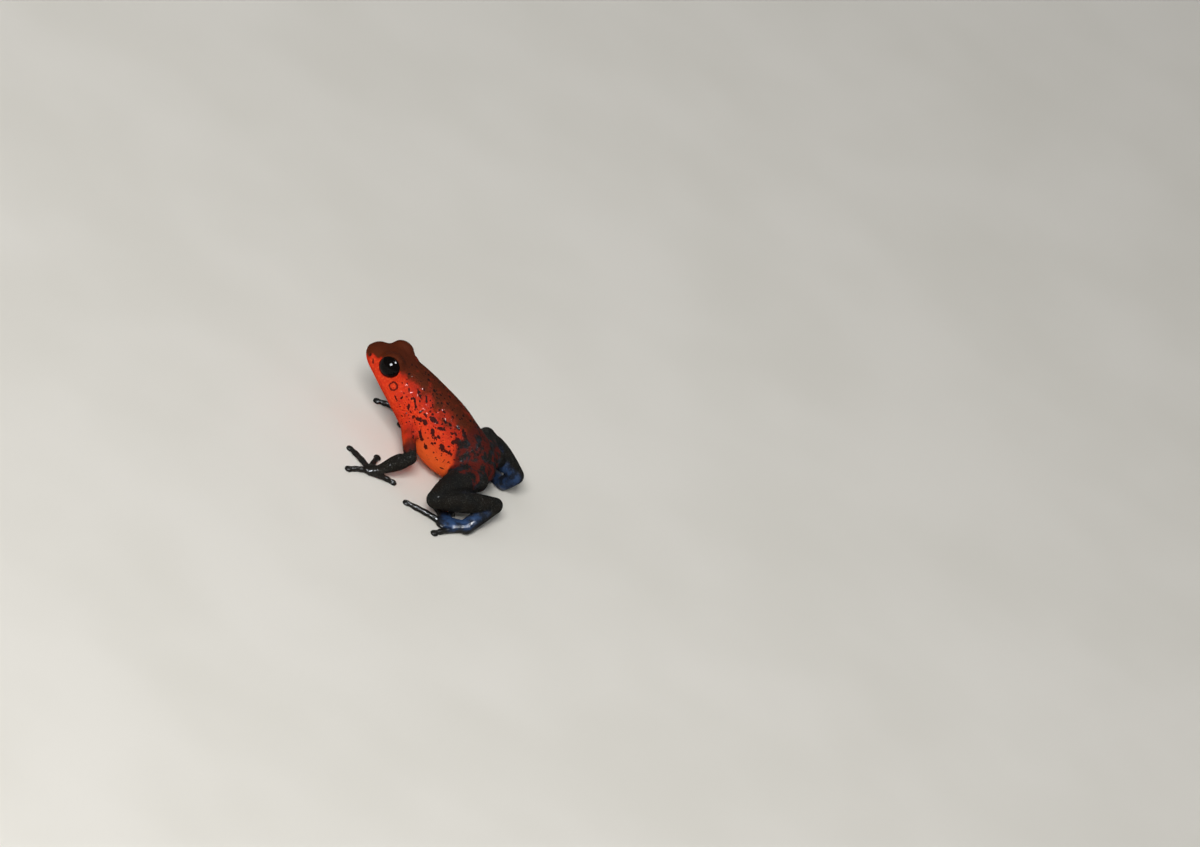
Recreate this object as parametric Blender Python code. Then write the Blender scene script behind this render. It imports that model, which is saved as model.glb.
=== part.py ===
"""A strawberry poison dart frog, life size, sitting alert with its chest raised on its forelimbs.

The frog faces -Y, its left side is +X, and it stands on the plane Z = 0. The tables below are in
millimetres, and the meshes are made in metres. The body is one long loft that is parted at the
neck. Each limb is a chain of tapered, rounded segments that are parted at the joints by thin cuts.
"""

import math

import bmesh
import bpy
import numpy as np
from mathutils import Matrix, Vector

MM = 0.001
GAP = 0.25

# The body lies along a straight axis that rises from the vent to the tip of the snout.
BODY_LENGTH = 22.2
BODY_PITCH = math.radians(15.3)
VENT = (0.0, 9.1, 3.75)
BODY_RINGS = 46
BODY_SIDES = 40
SNOUT_ROUNDING = (1.9, 2.3)
RUMP_ROUNDING = (4.6, 2.2)

# Distance forward of the vent, half width, height of the back, depth of the belly, level of the
# widest line, squareness of the upper half and of the lower half.
BODY_SECTIONS = (
    (0.0, 2.60, 2.20, 2.30, -0.30, 2.0, 2.0),
    (2.0, 3.15, 2.75, 3.10, -0.40, 2.0, 2.0),
    (4.0, 3.65, 3.00, 3.95, -0.60, 2.0, 2.1),
    (6.0, 4.10, 3.15, 4.30, -0.80, 2.1, 2.2),
    (8.0, 4.35, 3.50, 4.25, -0.80, 2.1, 2.2),
    (10.0, 4.35, 3.65, 3.90, -0.70, 2.1, 2.1),
    (12.0, 4.15, 3.65, 3.40, -0.50, 2.1, 2.1),
    (14.0, 3.80, 3.62, 2.70, -0.40, 2.2, 2.1),
    (16.0, 3.62, 3.40, 1.90, -0.30, 2.3, 2.1),
    (17.5, 3.40, 3.10, 1.38, -0.20, 2.4, 2.1),
    (19.0, 3.00, 2.62, 0.92, -0.05, 2.5, 2.1),
    (20.5, 2.45, 2.20, 0.58, 0.15, 2.5, 2.2),
    (22.2, 1.75, 2.00, 0.40, 0.35, 2.4, 2.2),
)

# Places on the head: distance forward of the vent, distance from the midline, height over the axis.
NECK_CUT = 14.3
EYE = (18.8, 1.93, 1.86)
EYE_RADIUS = 1.5
EYE_GAZE = (0.12, 0.97, 0.06)
EYE_GAP = 0.06
LID = (18.8, 1.93, 1.97)
LID_RADIUS = 1.65
LID_EDGE = (1.46, 0.64)
LID_THICKNESS = 0.12
DISH_RADIUS = 2.6
TEMPLE = (17.5, 1.95, 1.70)
TEMPLE_RADII = (1.5, 1.4, 1.35)
BROW = (18.6, 0.0, 1.2)
BROW_RADII = (3.0, 1.9, 2.05)
MOUTH_LEVELS = ((15.8, -0.75), (17.5, -0.36), (18.8, -0.18), (20.5, 0.05), (22.2, 0.22))
MOUTH_GROOVE = 0.13
NOSTRIL = (21.45, 1.30, 0.72)
NOSTRIL_RADIUS = 0.17
EARDRUM = (16.9, 0.94)
EARDRUM_RADIUS = 0.48
EARDRUM_GROOVE = 0.08

# Joints of the limbs on each side: distance from the midline, then Y and Z.
LEFT_ARM = {
    "shoulder": (2.8, -3.45, 6.2),
    "elbow": (7.0, -0.5, 4.1),
    "wrist": (8.2, -2.9, 1.02),
    "palm": (8.5, -4.1, 0.42),
    "fingers": ((4.6, -4.0), (6.3, -7.25), (10.5, -5.95), (7.5, -0.75)),
}
RIGHT_ARM = {
    "shoulder": (2.8, -3.45, 6.2),
    "elbow": (7.0, -1.1, 3.9),
    "wrist": (7.8, -3.6, 0.9),
    "palm": (8.1, -4.8, 0.42),
    "fingers": ((5.2, -4.1), (6.9, -8.1), (10.6, -7.3), (8.0, -1.0)),
}
LEFT_LEG = {
    "hip": (1.9, 6.7, 4.2),
    "knee": (10.7, 4.9, 3.4),
    "heel": (3.9, 11.1, 3.1),
    "ankle": (8.1, 9.6, 0.8),
    "sole": (9.5, 6.9, 0.42),
    "toes": ((6.2, 7.3), (5.5, 5.8), (6.4, 4.5), (9.8, 2.15), (12.2, 7.0)),
}
RIGHT_LEG = {
    "hip": (1.9, 6.7, 4.2),
    "knee": (10.1, 5.3, 2.5),
    "heel": (3.4, 11.15, 4.0),
    "ankle": (5.6, 10.2, 0.8),
    "sole": (7.2, 7.7, 0.42),
    "toes": ((4.2, 7.2), (4.0, 5.6), (5.2, 4.2), (9.2, 2.5), (10.4, 8.0)),
}

# Share of the way along a segment, half width across and half height.
UPPER_ARM_SECTIONS = ((0.0, 1.15, 1.15), (0.5, 0.88, 0.88), (1.0, 0.80, 0.80))
FOREARM_SECTIONS = ((0.0, 0.82, 0.82), (0.35, 1.00, 0.98), (1.0, 0.66, 0.52))
THIGH_SECTIONS = ((0.0, 1.85, 2.00), (0.35, 1.90, 2.00), (0.75, 1.60, 1.60), (1.0, 1.15, 1.20))
SHANK_SECTIONS = ((0.0, 1.05, 1.15), (0.35, 1.30, 1.38), (0.75, 1.15, 1.25), (1.0, 0.98, 1.08))
TARSUS_SECTIONS = ((0.0, 0.98, 1.02), (0.5, 0.96, 1.00), (1.0, 0.95, 0.80))
PALM_SECTIONS = ((0.0, 0.62, 0.50), (0.5, 0.78, 0.50), (1.0, 0.85, 0.44))
SOLE_SECTIONS = ((0.0, 0.92, 0.74), (0.5, 1.12, 0.62), (1.0, 1.12, 0.46))
THIGH_BOW = (0.0, 0.05, -0.15)
SHANK_BOW = (0.0, 0.1, 0.1)
BUTTOCK = (3.4, 7.9, 4.4)
BUTTOCK_RADII = (1.45, 1.25, 1.25)
LIMB_RINGS = 9
LIMB_SIDES = 14
PALM_SIDES = 12
DIGIT_RINGS = 5
DIGIT_SIDES = 8
FINGER_RADII = (0.42, 0.34)
TOE_RADII = (0.45, 0.35)
KNUCKLE_HEIGHT = 0.22
DIGIT_LEVEL = 0.28
DISC_RADII = (0.50, 0.52, 0.29)
DISC_LEVEL = 0.20
CAP_RINGS = 3

# The middle of the whole frog's box, from above, which goes to the origin.
BOX_CENTRE = (0.796, -0.052, 0.0)

COLOURS = {
    "red_skin": ((0.80, 0.10, 0.02, 1.0), 0.3),
    "dark_skin": ((0.02, 0.025, 0.04, 1.0), 0.35),
    "eye": ((0.005, 0.004, 0.004, 1.0), 0.05),
}


def smooth_rows(rows, places):
    """Reads rows of (place, values) at any places, on cubic pieces whose slopes come from the rows beside them."""
    rows = np.asarray(rows, float)
    places = np.asarray(places, float)
    at, values = rows[:, 0], rows[:, 1:]
    slopes = np.gradient(values, at, axis=0)
    piece = np.clip(np.searchsorted(at, places, side="right") - 1, 0, len(at) - 2)
    span = (at[piece + 1] - at[piece])[:, None]
    u = (places - at[piece])[:, None] / span
    start = (1 + 2 * u) * (1 - u) ** 2 * values[piece] + u * (1 - u) ** 2 * span * slopes[piece]
    end = u**2 * (3 - 2 * u) * values[piece + 1] + u**2 * (u - 1) * span * slopes[piece + 1]
    return start + end


def on_body(forward, side, height):
    """The world place, in millimetres, of a point given along, beside and above the body's axis."""
    y = VENT[1] - forward * math.cos(BODY_PITCH) + height * math.sin(BODY_PITCH)
    z = VENT[2] + forward * math.sin(BODY_PITCH) + height * math.cos(BODY_PITCH)
    return np.stack(np.broadcast_arrays(VENT[0] + side, y, z), axis=-1)


def end_rounding(forward):
    """The share of its full section that the body has near its two ends, where it closes like a superellipse."""
    share = np.ones_like(forward)
    for length, power, reach in (
        (*SNOUT_ROUNDING, forward - (BODY_LENGTH - SNOUT_ROUNDING[0])),
        (*RUMP_ROUNDING, RUMP_ROUNDING[0] - forward),
    ):
        depth = np.clip(reach / length, 0, 1)
        share = share * (1 - depth**power) ** (1 / power)
    return share


def body_outline(forward, turn, grow=0.0):
    """Distance from the midline and height over the axis, at a turn round the body from its left side upwards."""
    width, back, belly, level, upper, lower = smooth_rows(BODY_SECTIONS, forward).T
    share = end_rounding(forward)
    across, rise = np.cos(turn), np.sin(turn)
    power = np.where(rise > 0, upper, lower)
    reach = np.where(rise > 0, back - level, belly + level) * share + grow
    side = np.sign(across) * np.abs(across) ** (2 / power) * (width * share + grow)
    return side, level + np.sign(rise) * np.abs(rise) ** (2 / power) * reach


def side_at(forward, height):
    """Half the body's width at a height over the axis."""
    width, back, belly, level, upper, lower = smooth_rows(BODY_SECTIONS, [forward])[0]
    share = end_rounding(np.array([float(forward)]))[0]
    power = upper if height > level else lower
    reach = (back - level if height > level else belly + level) * share
    rise = min(1.0, abs(height - level) / reach)
    return width * share * (1 - rise**power) ** (1 / power)


def mesh_object(name, points, faces, material, collection):
    """A mesh object from points in millimetres, with its place in its mesh."""
    mesh = bpy.data.meshes.new(name)
    mesh.from_pydata([tuple(p) for p in np.asarray(points) * MM], [], [tuple(f) for f in faces])
    mesh.materials.append(bpy.data.materials[material])
    mesh.validate()
    obj = bpy.data.objects.new(name, mesh)
    collection.objects.link(obj)
    return obj


def loft(name, rings, first, last, material, collection):
    """A closed surface through rings of equal count, shut by a fan to the point before and after them."""
    count, sides = rings.shape[:2]
    points = np.concatenate([rings.reshape(-1, 3), [first, last]])
    ring = np.arange(count - 1)[:, None] * sides
    around = np.arange(sides)[None, :]
    after = (around + 1) % sides
    quads = np.stack(np.broadcast_arrays(ring + around, ring + after, ring + sides + after, ring + sides + around), -1)
    faces = [list(q) for q in quads.reshape(-1, 4).tolist()]
    end = (count - 1) * sides
    faces += [[count * sides, int(b), int(a)] for a, b in zip(around[0], after[0])]
    faces += [[count * sides + 1, end + int(a), end + int(b)] for a, b in zip(around[0], after[0])]
    obj = mesh_object(name, points, faces, material, collection)
    face_outwards(obj)
    return obj


def face_outwards(obj):
    """Turns a closed mesh's faces to point out."""
    shape = bmesh.new()
    shape.from_mesh(obj.data)
    bmesh.ops.recalc_face_normals(shape, faces=shape.faces)
    shape.to_mesh(obj.data)
    shape.free()


def body_loft(name, material, collection, grow=0.0):
    """The whole body from vent to snout. Its rings crowd towards both ends, where it closes fastest."""
    swing = np.linspace(0, math.pi, BODY_RINGS + 2)[1:-1]
    forward = BODY_LENGTH * (0.5 - 0.5 * np.cos(swing))
    turn = np.linspace(0, 2 * math.pi, BODY_SIDES, endpoint=False)
    grid_forward, grid_turn = np.meshgrid(forward, turn, indexing="ij")
    side, height = body_outline(grid_forward.ravel(), grid_turn.ravel(), grow)
    rings = on_body(grid_forward.ravel(), side, height).reshape(len(forward), BODY_SIDES, 3)
    first = on_body(-grow, 0, BODY_SECTIONS[0][4])
    last = on_body(BODY_LENGTH + grow, 0, BODY_SECTIONS[-1][4])
    return loft(name, rings, first, last, material, collection)


def tube_rings(centres, across, upright, up, sides):
    """Elliptical rings square to a path, with half widths across it and upright, and capped by half ellipsoids."""
    ahead = np.gradient(centres, axis=0)
    ahead /= np.linalg.norm(ahead, axis=1, keepdims=True)
    caps = np.arange(CAP_RINGS, 0, -1) * (math.pi / 2 / (CAP_RINGS + 1))
    reach = (across + upright) / 2
    places = [
        centres[0] - np.outer(np.sin(caps), ahead[0]) * reach[0],
        centres,
        centres[-1] + np.outer(np.sin(caps[::-1]), ahead[-1]) * reach[-1],
    ]
    shrink = [np.cos(caps), np.ones(len(centres)), np.cos(caps[::-1])]
    keep = np.concatenate([np.zeros(CAP_RINGS, int), np.arange(len(centres)), np.full(CAP_RINGS, len(centres) - 1)])
    middle, shrink, ahead_all = np.concatenate(places), np.concatenate(shrink), ahead[keep]
    side_way = np.cross(ahead_all, up)
    side_way /= np.linalg.norm(side_way, axis=1, keepdims=True)
    up_way = np.cross(side_way, ahead_all)
    turn = np.linspace(0, 2 * math.pi, sides, endpoint=False)
    rings = (
        middle[:, None]
        + (across[keep] * shrink)[:, None, None] * np.cos(turn)[None, :, None] * side_way[:, None]
        + (upright[keep] * shrink)[:, None, None] * np.sin(turn)[None, :, None] * up_way[:, None]
    )
    first = centres[0] - ahead[0] * reach[0]
    last = centres[-1] + ahead[-1] * reach[-1]
    return rings, first, last


def segment(name, start, end, sections, material, collection, bow=(0, 0, 0), sides=LIMB_SIDES, grow=0.0):
    """One limb segment: a rounded tube between two joints that bows to one side and swells as its sections say."""
    along = np.linspace(0, 1, LIMB_RINGS)
    centres = np.outer(1 - along, start) + np.outer(along, end) + np.outer(np.sin(math.pi * along), bow)
    across, upright = smooth_rows(sections, along).T + grow
    rings, first, last = tube_rings(centres, across, upright, (0, 0, 1), sides)
    return loft(name, rings, first, last, material, collection)


def sphere(name, centre, radii, axes, material, collection, around=16, rings=10):
    """An ellipsoid of these radii along three directions."""
    shape = bmesh.new()
    bmesh.ops.create_uvsphere(shape, u_segments=around, v_segments=rings, radius=1.0)
    turn = Matrix([Vector(a) for a in axes]).transposed() @ Matrix.Diagonal(Vector(radii) * MM)
    bmesh.ops.transform(shape, matrix=Matrix.Translation(Vector(centre) * MM) @ turn.to_4x4(), verts=shape.verts)
    bmesh.ops.recalc_face_normals(shape, faces=shape.faces)
    mesh = bpy.data.meshes.new(name)
    shape.to_mesh(mesh)
    shape.free()
    mesh.materials.append(bpy.data.materials[material])
    obj = bpy.data.objects.new(name, mesh)
    collection.objects.link(obj)
    return obj


def ring_tube(name, centre, normal, radius, thickness, material, collection, around=24, sides=8):
    """A torus square to its normal."""
    lean = Vector(normal).normalized().to_track_quat("Z", "Y").to_matrix()
    turn = np.linspace(0, 2 * math.pi, around, endpoint=False)
    spin = np.linspace(0, 2 * math.pi, sides, endpoint=False)
    out = np.stack([np.cos(turn), np.sin(turn), np.zeros(around)], -1) @ np.array(lean).T
    axis = np.array(lean.col[2])
    tube = radius + thickness * np.cos(spin)
    points = np.array(centre) + out[:, None] * tube[None, :, None] + thickness * np.sin(spin)[None, :, None] * axis
    faces = []
    for i in range(around):
        for j in range(sides):
            k, m = (i + 1) % around, (j + 1) % sides
            faces.append((i * sides + j, k * sides + j, k * sides + m, i * sides + m))
    obj = mesh_object(name, points.reshape(-1, 3), faces, material, collection)
    face_outwards(obj)
    return obj


def apply_modifiers(obj):
    """Replaces an object's mesh by the one that its modifiers make of it."""
    graph = bpy.context.evaluated_depsgraph_get()
    made = bpy.data.meshes.new_from_object(obj.evaluated_get(graph))
    obj.modifiers.clear()
    old, obj.data = obj.data, made
    made.name = obj.name
    bpy.data.meshes.remove(old)


def combine(target, others, operation, solver="EXACT"):
    """Joins others to the target, or cuts them from it, in one Boolean, and removes them."""
    group = bpy.data.collections.new(f"{target.name}_{operation.lower()}")
    bpy.context.scene.collection.children.link(group)
    for other in others:
        group.objects.link(other)
    change = target.modifiers.new(operation.lower(), "BOOLEAN")
    change.operation = operation
    change.operand_type = "COLLECTION"
    change.collection = group
    change.solver = solver
    apply_modifiers(target)
    for other in others:
        bpy.data.meshes.remove(other.data)
    bpy.data.collections.remove(group)
    keep_largest(target)


def keep_largest(obj):
    """Leaves only the closed surface that has the most room, so that no scrap or sealed hollow stays."""
    shape = bmesh.new()
    shape.from_mesh(obj.data)
    shape.faces.ensure_lookup_table()
    left, islands = set(shape.faces), []
    while left:
        island, edge = set(), {next(iter(left))}
        while edge:
            island |= edge
            edge = {near for face in edge for line in face.edges for near in line.link_faces} - island
        left -= island
        islands.append(island)
    largest = max(islands, key=lambda faces: sum(face.calc_area() for face in faces))
    bmesh.ops.delete(shape, geom=[f for f in shape.faces if f not in largest], context="FACES")
    shape.to_mesh(obj.data)
    shape.free()


def cut_away(obj, point, towards, gap=GAP / 2):
    """Cuts off what lies further towards a direction than a plane set back from a point by half the gap."""
    way = Vector(towards).normalized()
    place = (Vector(point) - way * gap) * MM
    shape = bmesh.new()
    shape.from_mesh(obj.data)
    geometry = shape.verts[:] + shape.edges[:] + shape.faces[:]
    made = bmesh.ops.bisect_plane(shape, geom=geometry, dist=1e-7, plane_co=place, plane_no=way, clear_outer=True)
    rim = [e for e in made["geom_cut"] if isinstance(e, bmesh.types.BMEdge)]
    bmesh.ops.holes_fill(shape, edges=rim)
    bmesh.ops.recalc_face_normals(shape, faces=shape.faces)
    shape.to_mesh(obj.data)
    shape.free()
    keep_largest(obj)


def mirrored(point, hand):
    """A place or direction on the frog's left, or the same one on its right."""
    return np.array(point, float) * (hand, 1, 1)


def head_place(place, hand):
    """A place on the head on one side, from its distance forward, distance from the midline and height."""
    forward, side, height = place
    return on_body(forward, hand * side, height)


def gaze(hand):
    """The direction in which an eye looks."""
    forward, side, height = EYE_GAZE
    way = on_body(forward, hand * side, height) - on_body(0, 0, 0)
    return way / np.linalg.norm(way)


def make_eye(hand, name, collection):
    """The eyeball."""
    return sphere(name, head_place(EYE, hand), (EYE_RADIUS,) * 3, np.eye(3), "eye", collection, 22, 14)


def head_extras(hand, helpers):
    """The bulge of the lids over the eyeball and the temple behind it."""
    bulge = sphere("bulge", head_place(LID, hand), (LID_RADIUS,) * 3, np.eye(3), "red_skin", helpers, 22, 14)
    temple = sphere("temple", head_place(TEMPLE, hand), TEMPLE_RADII, np.eye(3), "red_skin", helpers, 14, 10)
    return [bulge, temple]


def eye_dish(hand, helpers):
    """A large ball that opens the lids where the eye looks out and dishes the cheek round the opening."""
    edge, level = LID_EDGE
    centre = head_place(EYE, hand) + gaze(hand) * (level + math.sqrt(DISH_RADIUS**2 - edge**2))
    return sphere("dish", centre, (DISH_RADIUS,) * 3, np.eye(3), "red_skin", helpers, 32, 20)


def lid_rim(hand, helpers):
    """The rounded edge of the lids round the opening."""
    edge, level = LID_EDGE
    centre = head_place(EYE, hand) + gaze(hand) * level
    return ring_tube("rim", centre, gaze(hand), edge, LID_THICKNESS, "red_skin", helpers)


def head_cutters(hand, helpers):
    """The eye socket, the nostril and the groove round the eardrum."""
    room = (EYE_RADIUS + EYE_GAP,) * 3
    socket = sphere("socket", head_place(EYE, hand), room, np.eye(3), "eye", helpers, 22, 14)
    nostril = sphere("nostril", head_place(NOSTRIL, hand), (NOSTRIL_RADIUS,) * 3, np.eye(3), "eye", helpers, 8, 6)
    forward, height = EARDRUM
    out = head_place((forward, side_at(forward, height), height), hand)
    above = head_place((forward, side_at(forward, height + 0.3), height + 0.3), hand)
    before = head_place((forward + 0.3, side_at(forward + 0.3, height), height), hand)
    normal = np.cross(before - out, above - out)
    drum = ring_tube("drum", out, normal, EARDRUM_RADIUS, EARDRUM_GROOVE, "red_skin", helpers, 16, 6)
    return [socket, nostril, drum]


def mouth_groove(helpers):
    """The line of the mouth: a thin tube along the lip from one corner round the snout to the other."""
    swing = np.linspace(0, math.pi / 2, 14)[:-1]
    forward = MOUTH_LEVELS[0][0] + (BODY_LENGTH - MOUTH_LEVELS[0][0]) * np.sin(swing)
    level = smooth_rows(MOUTH_LEVELS, forward)[:, 0]
    left = np.array([on_body(f, side_at(f, h), h) for f, h in zip(forward, level)])
    front = on_body(BODY_LENGTH, 0, level[-1])
    right = left[::-1] * (-1, 1, 1)
    centres = np.concatenate([left, [front], right])
    radius = np.full(len(centres), MOUTH_GROOVE)
    rings, first, last = tube_rings(centres, radius, radius, on_body(0, 0, 1) - on_body(0, 0, 0), 6)
    return loft("mouth", rings, first, last, "red_skin", helpers)


def make_head_and_torso(parts, helpers):
    """The body in one loft with the head's forms, parted at the neck. The torso's grown twin is kept to cut the limbs."""
    neck = on_body(NECK_CUT, 0, 0)
    forward = on_body(1, 0, 0) - on_body(0, 0, 0)
    torso = body_loft("torso", "red_skin", parts)
    cut_away(torso, neck, forward)
    head = body_loft("head", "red_skin", parts)
    brow = sphere("brow", head_place(BROW, 1), BROW_RADII, np.eye(3), "red_skin", helpers, 20, 12)
    combine(head, head_extras(1, helpers) + head_extras(-1, helpers) + [brow], "UNION")
    combine(head, [eye_dish(1, helpers), eye_dish(-1, helpers)], "DIFFERENCE")
    combine(head, [lid_rim(1, helpers), lid_rim(-1, helpers)], "UNION")
    combine(head, head_cutters(1, helpers) + head_cutters(-1, helpers) + [mouth_groove(helpers)], "DIFFERENCE")
    cut_away(head, neck, -forward)
    return head, torso


def digit(name, base, tip, radii, helpers):
    """A finger or toe from the palm or sole to its tip, arched a little and lying on the ground."""
    start, end = np.array(base, float), np.array((*tip, DIGIT_LEVEL))
    along = np.linspace(0, 1, DIGIT_RINGS)
    lift = KNUCKLE_HEIGHT * np.sin(math.pi * along) ** 2 * 0.5
    centres = np.outer(1 - along, start) + np.outer(along, end)
    centres[:, 2] += lift
    radius = radii[0] + (radii[1] - radii[0]) * np.sqrt(along)
    rings, first, last = tube_rings(centres, radius, radius, (0, 0, 1), DIGIT_SIDES)
    return loft(name, rings, first, last, "dark_skin", helpers)


def disc(name, base, tip, helpers):
    """The flattened pad at a digit's tip."""
    way = Vector((tip[0] - base[0], tip[1] - base[1], 0)).normalized()
    side = Vector((-way.y, way.x, 0))
    place = Vector((*tip, DISC_LEVEL)) + way * 0.05
    return sphere(name, place, DISC_RADII, (side, way, Vector((0, 0, 1))), "dark_skin", helpers, 12, 8)


def cut_floor(obj):
    """Trims what reaches below the ground, which leaves small flats at one level."""
    cut_away(obj, (0, 0, 0), (0, 0, -1), gap=0.0)


def digit_bases(start, end, count, width, outer_back):
    """Where the digits leave the palm or sole: side by side across its end, with the outermost further back."""
    ahead = (end - start) * (1, 1, 0)
    outwards = np.array((-ahead[1], ahead[0], 0)) / np.linalg.norm(ahead)
    share = np.linspace(-1, 1, count)[:, None]
    back = np.full((count, 1), 0.2)
    back[-1] = outer_back
    bases = end + (start - end) * back + outwards * share * width
    bases[:, 2] = end[2]
    return bases


def make_paw(name, joints, reach, sections, radii, outer_back, hand, parts, helpers):
    """A hand or foot: a flat palm or sole, its digits and their discs in one piece that rests on the ground."""
    before, start, end, tips = (joints[key] for key in reach)
    bases = digit_bases(np.array(start), np.array(end), len(tips), sections[-1][1] * 0.55, outer_back)
    before, start, end, bases = (mirrored(place, hand) for place in (before, start, end, bases))
    paw = segment(name, start, end, sections, "dark_skin", parts, sides=PALM_SIDES)
    part_joint(None, paw, start, before, end)
    pieces = []
    for number, (base, tip) in enumerate(zip(bases, tips)):
        tip = mirrored((*tip, 0), hand)[:2]
        pieces.append(digit(f"digit{number}", base, tip, radii, helpers))
        pieces.append(disc(f"disc{number}", base, tip, helpers))
    combine(paw, pieces, "UNION")
    cut_floor(paw)


def part_joint(first, second, joint, first_far, second_far):
    """Parts two limb segments at their joint along the plane that halves the angle between them."""
    one = Vector(np.array(first_far) - joint).normalized()
    two = Vector(np.array(second_far) - joint).normalized()
    if first:
        cut_away(first, joint, two - one)
    if second:
        cut_away(second, joint, one - two)


def make_arm(hand, side, joints, parts, helpers):
    """One forelimb, from the shoulder to the finger tips."""
    shoulder, elbow, wrist, palm = (mirrored(joints[n], hand) for n in ("shoulder", "elbow", "wrist", "palm"))
    upper = segment(f"upper_arm_{side}", shoulder, elbow, UPPER_ARM_SECTIONS, "red_skin", parts)
    fore = segment(f"forearm_{side}", elbow, wrist, FOREARM_SECTIONS, "dark_skin", parts)
    part_joint(upper, fore, elbow, shoulder, wrist)
    part_joint(fore, None, wrist, elbow, palm)
    reach = ("elbow", "wrist", "palm", "fingers")
    make_paw(f"hand_{side}", joints, reach, PALM_SECTIONS, FINGER_RADII, 0.3, hand, parts, helpers)
    combine(upper, [body_loft("room", "red_skin", helpers, GAP)], "DIFFERENCE")


def make_leg(hand, side, joints, parts, helpers):
    """One hind limb, folded, from the hip to the toe tips."""
    hip, knee, heel, ankle, sole = (mirrored(joints[n], hand) for n in ("hip", "knee", "heel", "ankle", "sole"))
    thigh = segment(f"thigh_{side}", hip, knee, THIGH_SECTIONS, "dark_skin", parts, THIGH_BOW)
    shank = segment(f"shank_{side}", knee, heel, SHANK_SECTIONS, "dark_skin", parts, SHANK_BOW)
    tarsus = segment(f"tarsus_{side}", heel, ankle, TARSUS_SECTIONS, "dark_skin", parts)
    part_joint(thigh, shank, knee, hip, heel)
    part_joint(shank, tarsus, heel, knee, ankle)
    part_joint(tarsus, None, ankle, heel, sole)
    buttock = sphere("buttock", mirrored(BUTTOCK, hand), BUTTOCK_RADII, np.eye(3), "dark_skin", helpers, 12, 8)
    combine(thigh, [buttock], "UNION")
    reach = ("heel", "ankle", "sole", "toes")
    make_paw(f"foot_{side}", joints, reach, SOLE_SECTIONS, TOE_RADII, 0.6, hand, parts, helpers)
    for obj in (thigh, shank):
        combine(obj, [body_loft("room", "red_skin", helpers, GAP)], "DIFFERENCE")
    cut_floor(tarsus)


def make_materials():
    """One plain material for each finish."""
    for name, (colour, roughness) in COLOURS.items():
        material = bpy.data.materials.new(name)
        material.diffuse_color = colour
        material.use_nodes = True
        shader = material.node_tree.nodes["Principled BSDF"]
        shader.inputs["Base Color"].default_value = colour
        shader.inputs["Roughness"].default_value = roughness
        shader.inputs["Metallic"].default_value = 0.0


def main():
    """Clears the scene and makes the frog."""
    for old in list(bpy.data.objects):
        bpy.data.objects.remove(old)
    parts = bpy.data.collections.new("frog")
    helpers = bpy.data.collections.new("helpers")
    for collection in (parts, helpers):
        bpy.context.scene.collection.children.link(collection)
    make_materials()
    make_head_and_torso(parts, helpers)
    for hand, side, arm, leg in ((1, "left", LEFT_ARM, LEFT_LEG), (-1, "right", RIGHT_ARM, RIGHT_LEG)):
        make_eye(hand, f"eye_{side}", parts)
        make_arm(hand, side, arm, parts, helpers)
        make_leg(hand, side, leg, parts, helpers)
    bpy.data.collections.remove(helpers)
    for obj in parts.objects:
        obj.data.transform(Matrix.Translation(-Vector(BOX_CENTRE) * MM))
        obj.data.shade_smooth()
        obj.data.set_sharp_from_angle(angle=math.radians(50))


main()
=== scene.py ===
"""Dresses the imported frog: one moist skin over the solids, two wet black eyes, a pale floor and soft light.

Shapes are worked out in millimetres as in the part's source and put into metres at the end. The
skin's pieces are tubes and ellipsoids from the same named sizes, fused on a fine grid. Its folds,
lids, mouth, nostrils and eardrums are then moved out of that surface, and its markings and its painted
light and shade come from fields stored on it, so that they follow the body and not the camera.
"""

import math
from functools import partialmethod

import bpy
import numpy as np
from bpy.props import FloatProperty, FloatVectorProperty, PointerProperty
from bpy.types import Operator, Panel, PropertyGroup
from mathutils import Matrix, Vector


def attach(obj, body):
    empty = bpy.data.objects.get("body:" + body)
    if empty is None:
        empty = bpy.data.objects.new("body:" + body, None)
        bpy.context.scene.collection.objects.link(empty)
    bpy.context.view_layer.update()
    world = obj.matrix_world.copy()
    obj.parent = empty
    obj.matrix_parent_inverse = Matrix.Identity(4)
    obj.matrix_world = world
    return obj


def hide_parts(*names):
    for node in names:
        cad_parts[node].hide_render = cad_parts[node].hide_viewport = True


bl_info = {
    "name": "Strawberry poison dart frog",
    "version": (1, 0, 0),
    "blender": (4, 5, 0),
    "location": "View3D > Sidebar > Frog",
    "description": "Skin, eyes and studio of a life-size poison dart frog",
    "category": "Add Mesh",
}

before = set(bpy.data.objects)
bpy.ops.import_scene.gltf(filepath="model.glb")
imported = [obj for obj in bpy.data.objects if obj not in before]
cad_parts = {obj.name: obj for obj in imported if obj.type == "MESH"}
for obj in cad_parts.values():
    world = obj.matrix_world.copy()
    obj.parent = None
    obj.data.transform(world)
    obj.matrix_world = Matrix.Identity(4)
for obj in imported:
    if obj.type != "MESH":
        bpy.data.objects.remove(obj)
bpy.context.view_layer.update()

MM = 0.001
BOX_CENTRE = np.array((0.796, -0.052, 0.0))

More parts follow.
